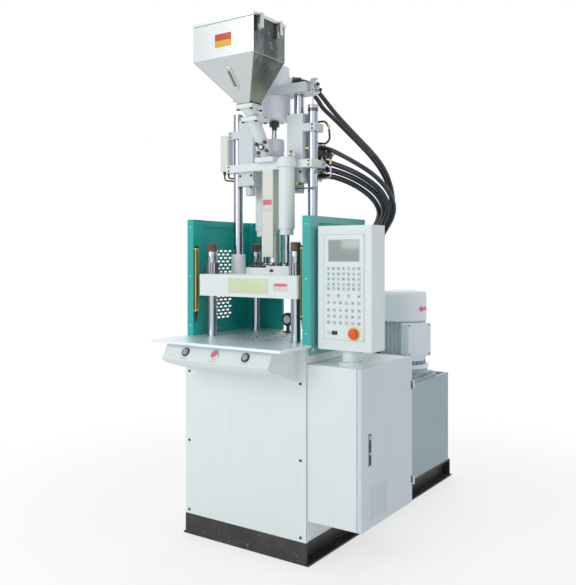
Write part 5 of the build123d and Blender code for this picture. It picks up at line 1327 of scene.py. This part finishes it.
# %% Tank fittings
COVER = (-120, 790, 330)
BREATHER = (-230, 300)
make_piece("cleaning_cover", white_coat, "frame", "white_paint",
    turned([(0, 0), (118, 0), (118, 6), (114, 8), (0, 8)], stand(COVER, BACK), 56))
make_piece("tank_bolts", zinc, "frame", "steel",
    heads(circle((COVER[0], 798, COVER[2]), 104, 12, second=2), BACK, 5.0, HEX_HEAD),
    turned([(0, 0), (22, 0), (22, 4), (15, 4, 6), (15, 16, 6), (0, 16)],
           stand((250, 790, 140), BACK)))
make_piece("tank_breather", black_plastic, "frame", "black_plastic",
    turned([(0, 0), (30, 0), (30, 8), (24, 10), (24, 22), (38, 24), (38, 58), (34, 64), (0, 66)],
           stand((*BREATHER, 636)), 40),
    *[block((x - 1.6, y - 1.6, z), (x + 1.6, y + 1.6, z + 30), 0.5)
      for x, y, z in circle((*BREATHER, 662), 38, 16)])


# %% Oil level gauge
def gauge_glass():
    glass = Finish("gauge_glass")
    oil = glass.axis("Z").rise(0.398, 0.402)
    base = glass.blend(oil, (0.36, 0.22, 0.04), (0.62, 0.66, 0.66))
    return glass.set(Base_Color=base, Roughness=0.12, Coat_Weight=1.0)


make_piece("gauge_body", black_plastic, "frame", "black_plastic",
    block((-354, 268, 300), (-349.5, 292, 460), 2.0))
make_piece("gauge_glass", gauge_glass(), "frame", "keypad",
    block((-356, 274, 322), (-353.5, 286, 438), 1.0))
make_piece("gauge_screws", zinc, "frame", "steel",
    heads(grid(-354, 280, (310, 450)), LEFT, 6.0, HEX_HEAD))

# %% Yellow earth strip on the tank's edge
make_piece("tank_strip", label_yellow, "frame", "yellow_paint",
    block((305, 385, 636), (349, 425, 639.5), 0.8))

# %% Motor details
MOTOR_X, MOTOR_Y = (1000 * middle for middle in MOTOR_AXIS)
MOTOR_GLAND = [(0, 0), (16, 0), (16, 5), (14, 5, 6), (14, 15, 6), (10, 19), (0, 19)]
box_turn = Matrix.Rotation(math.radians(-35), 4, "Z")
box_way = box_turn @ Vector(RIGHT)
box = Matrix.Translation(Vector((MOTOR_X, MOTOR_Y, 874.5)) + box_way * 190) @ box_turn
make_piece("motor_box_screws", black_oxide, "frame", "dark_steel",
    heads([box @ Vector(spot) for spot in grid(0, (-64, 64), (-82, 82))], box_way, 5.0, twist=0))
make_piece("motor_box_lid", fan_coat, "frame", "motor_grey",
    block((-0.5, -71, -89), (3.5, 71, 89), 2.2, box))
make_piece("motor_glands", black_plastic, "frame", "black_plastic",
    *[turned(MOTOR_GLAND, stand(box @ Vector((-30, y, -92)), DOWN)) for y in (-35, 35)])

# %% [markdown]
# The arrow on the fan cover follows the cover's curve. Its outline is drawn flat, as an angle
# and a height, then cut into narrow strips so that it bends with the sheet.

# %% Arrow for the sense of rotation
ARROW_STEPS = (-25.0, -22.0, -19.0, -16.001, -15.999, -10.0, -4.0, 2.0, 8.0, 14.0)
ARROW_Z, INNER, OUTER = 1044, 139.8, 140.7


def arrow_half(degrees):
    """Half the arrow's height at an angle from its middle."""
    return 22.0 * (degrees + 25.0) / 9.0 + 0.5 if degrees <= -16.0 else 11.0


def on_cover(degrees, height, reach):
    """A point at an angle, a height and a distance from the motor's axis."""
    angle = math.radians(degrees)
    return Vector((MOTOR_X + reach * math.cos(angle), MOTOR_Y + reach * math.sin(angle), height))


@shape
def bent_arrow(made):
    columns = []
    for degrees in ARROW_STEPS:
        half = arrow_half(degrees)
        columns.append([made.verts.new(on_cover(degrees + 2.0, ARROW_Z + side * half, reach))
                        for side, reach in ((-1, INNER), (-1, OUTER), (1, OUTER), (1, INNER))])
    for left, right in zip(columns, columns[1:]):
        add_band(made, left, right)
    made.faces.new(columns[0])
    made.faces.new(columns[-1][::-1])


make_piece("turn_arrow", red_plastic, "frame", "red", bent_arrow())

# %% [markdown]
# The seat of the injection unit is ringed with black socket screws of two heights, and two
# sensor cables lie across it in clips. A black plug closes the oil port in the side of the
# right rod foot.

# %% Screws round the seat
screws = []
for number, (x, y, z) in enumerate(circle((0, AXIS_Y, SEAT_TOP), 124, 14, 13)):
    if abs(x) <= 40 or min(abs(y - rod_y) for _, rod_y in RODS) >= 46:
        screws.append(heads([(x, y, z)], UP, 8.0, tall=2.2 if number % 3 else 1.4))
for side, (_, y) in zip((1, -1), RODS):
    foot = [(side * 118 + dx, y + dy, FOOT_TOP)
            for dx, dy in ((-38, -30), (-38, 30), (38, -30), (38, 30), (0, -33), (0, 33))]
    screws.append(heads(foot, UP, 8.0, tall=1.9, twist=0))
make_piece("seat_ring_screws", black_oxide, "clamp", "dark_steel", *screws)

# %% Plug and sensor cables
make_piece("foot_plug", black_oxide, "clamp", "dark_steel",
    turned([(0, 0), (9, 0), (9, 2.0), (7.6, 3.0), (4.6, 3.0, 6), (4.4, 0.8, 6), (0, 0.8)],
           stand((76, -690, 1281), FRONT) @ Matrix.Diagonal((1.25, 0.8, 1, 1)), 28))
make_piece("sensor_cables", black_plastic, "clamp", "black_plastic",
    pipe([(-120, -600, 1297), (-88, -622, 1299), (-40, -640, 1299), (2, -655, 1299),
          (40, -668, 1298)], 3.0, 30),
    pipe([(-112, -585, 1297), (-80, -606, 1299), (-38, -622, 1299), (-2, -640, 1299)], 3.0, 30),
    *[block((x - 5, y - 13, 1294.5), (x + 5, y + 13, 1303.5), 1.5)
      for x, y in ((-88, -615), (-40, -632), (0, -648))])

# %% [markdown]
# The clamp of the scale rod is worked by hand, so it carries two small black star knobs. Below
# it the pilot lines of the valve block loop out past the column, in blackened tube with brass
# unions at each end.

# %% Star knobs
STAR_RINGS = ((0.55, 0.0), (0.95, 0.12), (1.0, 0.3), (1.0, 0.75), (0.9, 0.95), (0.5, 1.0))
STAR_SIDES, STAR_ARMS, STAR_DEPTH = 40, 5, 0.16
KNOB_PLACES = ((-572, 2156), (-548, 2134))


@shape
def star_knob(made, at, radius, height):
    """A hand knob with rounded lobes."""
    rings = []
    for reach, rise in STAR_RINGS:
        ring = []
        for step in range(STAR_SIDES):
            angle = 2 * math.pi * step / STAR_SIDES
            cut = STAR_DEPTH * (1 - math.cos(STAR_ARMS * angle)) / 2 if reach > 0.6 else 0
            point = Vector((math.cos(angle), math.sin(angle), 0)) * radius * reach * (1 - cut)
            ring.append(made.verts.new(at @ (point + Vector((0, 0, rise * height)))))
        rings.append(ring)
    for low, high in zip(rings, rings[1:]):
        add_band(made, low, high)
    made.faces.new(rings[0][::-1])
    made.faces.new(rings[-1])


make_piece("clamp_knobs", black_plastic, "injection", "black_plastic",
    *[star_knob(stand((253, *place), RIGHT), 8.5, 11) for place in KNOB_PLACES])
make_piece("clamp_studs", black_oxide, "injection", "dark_steel",
    *[turned([(0, 0), (3.4, 0), (3.4, 5.0), (0, 5.0)], stand((248, *place), RIGHT))
      for place in KNOB_PLACES],
    heads(grid((226, 240), -589, (2130, 2162)), FRONT, 2.6))

# %% Pilot lines
PILOT_PLACES = (((191, -520, 1990), (1, 0.2, 0)), ((276, -500, 1970), (0.05, 0, -1)),
                ((191, -515, 1896), (1, 0.1, -0.2)), ((236, -498, 1826), DOWN),
                ((275.5, -486, 1792), UP))
make_piece("pilot_lines", black_oxide, "carriage", "dark_steel",
    pipe([(191, -520, 1990), (258, -505, 1992), (276, -500, 1962), (280, -500, 1905),
          (262, -505, 1884), (215, -512, 1890), (191, -515, 1896)], 5.0, 22),
    pipe([(236, -498, 1826), (240, -496, 1786), (262, -490, 1740), (276, -486, 1786),
          (272, -482, 1826), (258, -478, 1842)], 4.5, 16))
make_piece("pilot_unions", brass, "carriage", "steel",
    *[turned(UNION, stand(spot, way) @ Matrix.Scale(0.9, 4)) for spot, way in PILOT_PLACES])

# %% [markdown]
# Behind the mould space a switch for the light curtains stands on the table. Its black body
# has a pale turned face towards the front.

# %% Curtain switch on the table
switch = stand((-22, -410, 1028), FRONT)
make_piece("curtain_switch", black_plastic, "frame", "black_plastic",
    block((-44, -424, 962), (0, -396, 968), 1.5),
    block((-30, -416, 968), (-14, -404, 1000), 2.0),
    turned([(0, -12), (30, -12), (34, -8), (34, 8), (30, 12), (22, 12), (22, 9), (0, 9)],
           switch, 40))
make_piece("curtain_switch_face", pale_plastic, "frame", "white_paint",
    turned([(0, 9), (20, 9), (20, 13), (17, 15), (6, 15), (4, 12), (0, 12)], switch, 40))
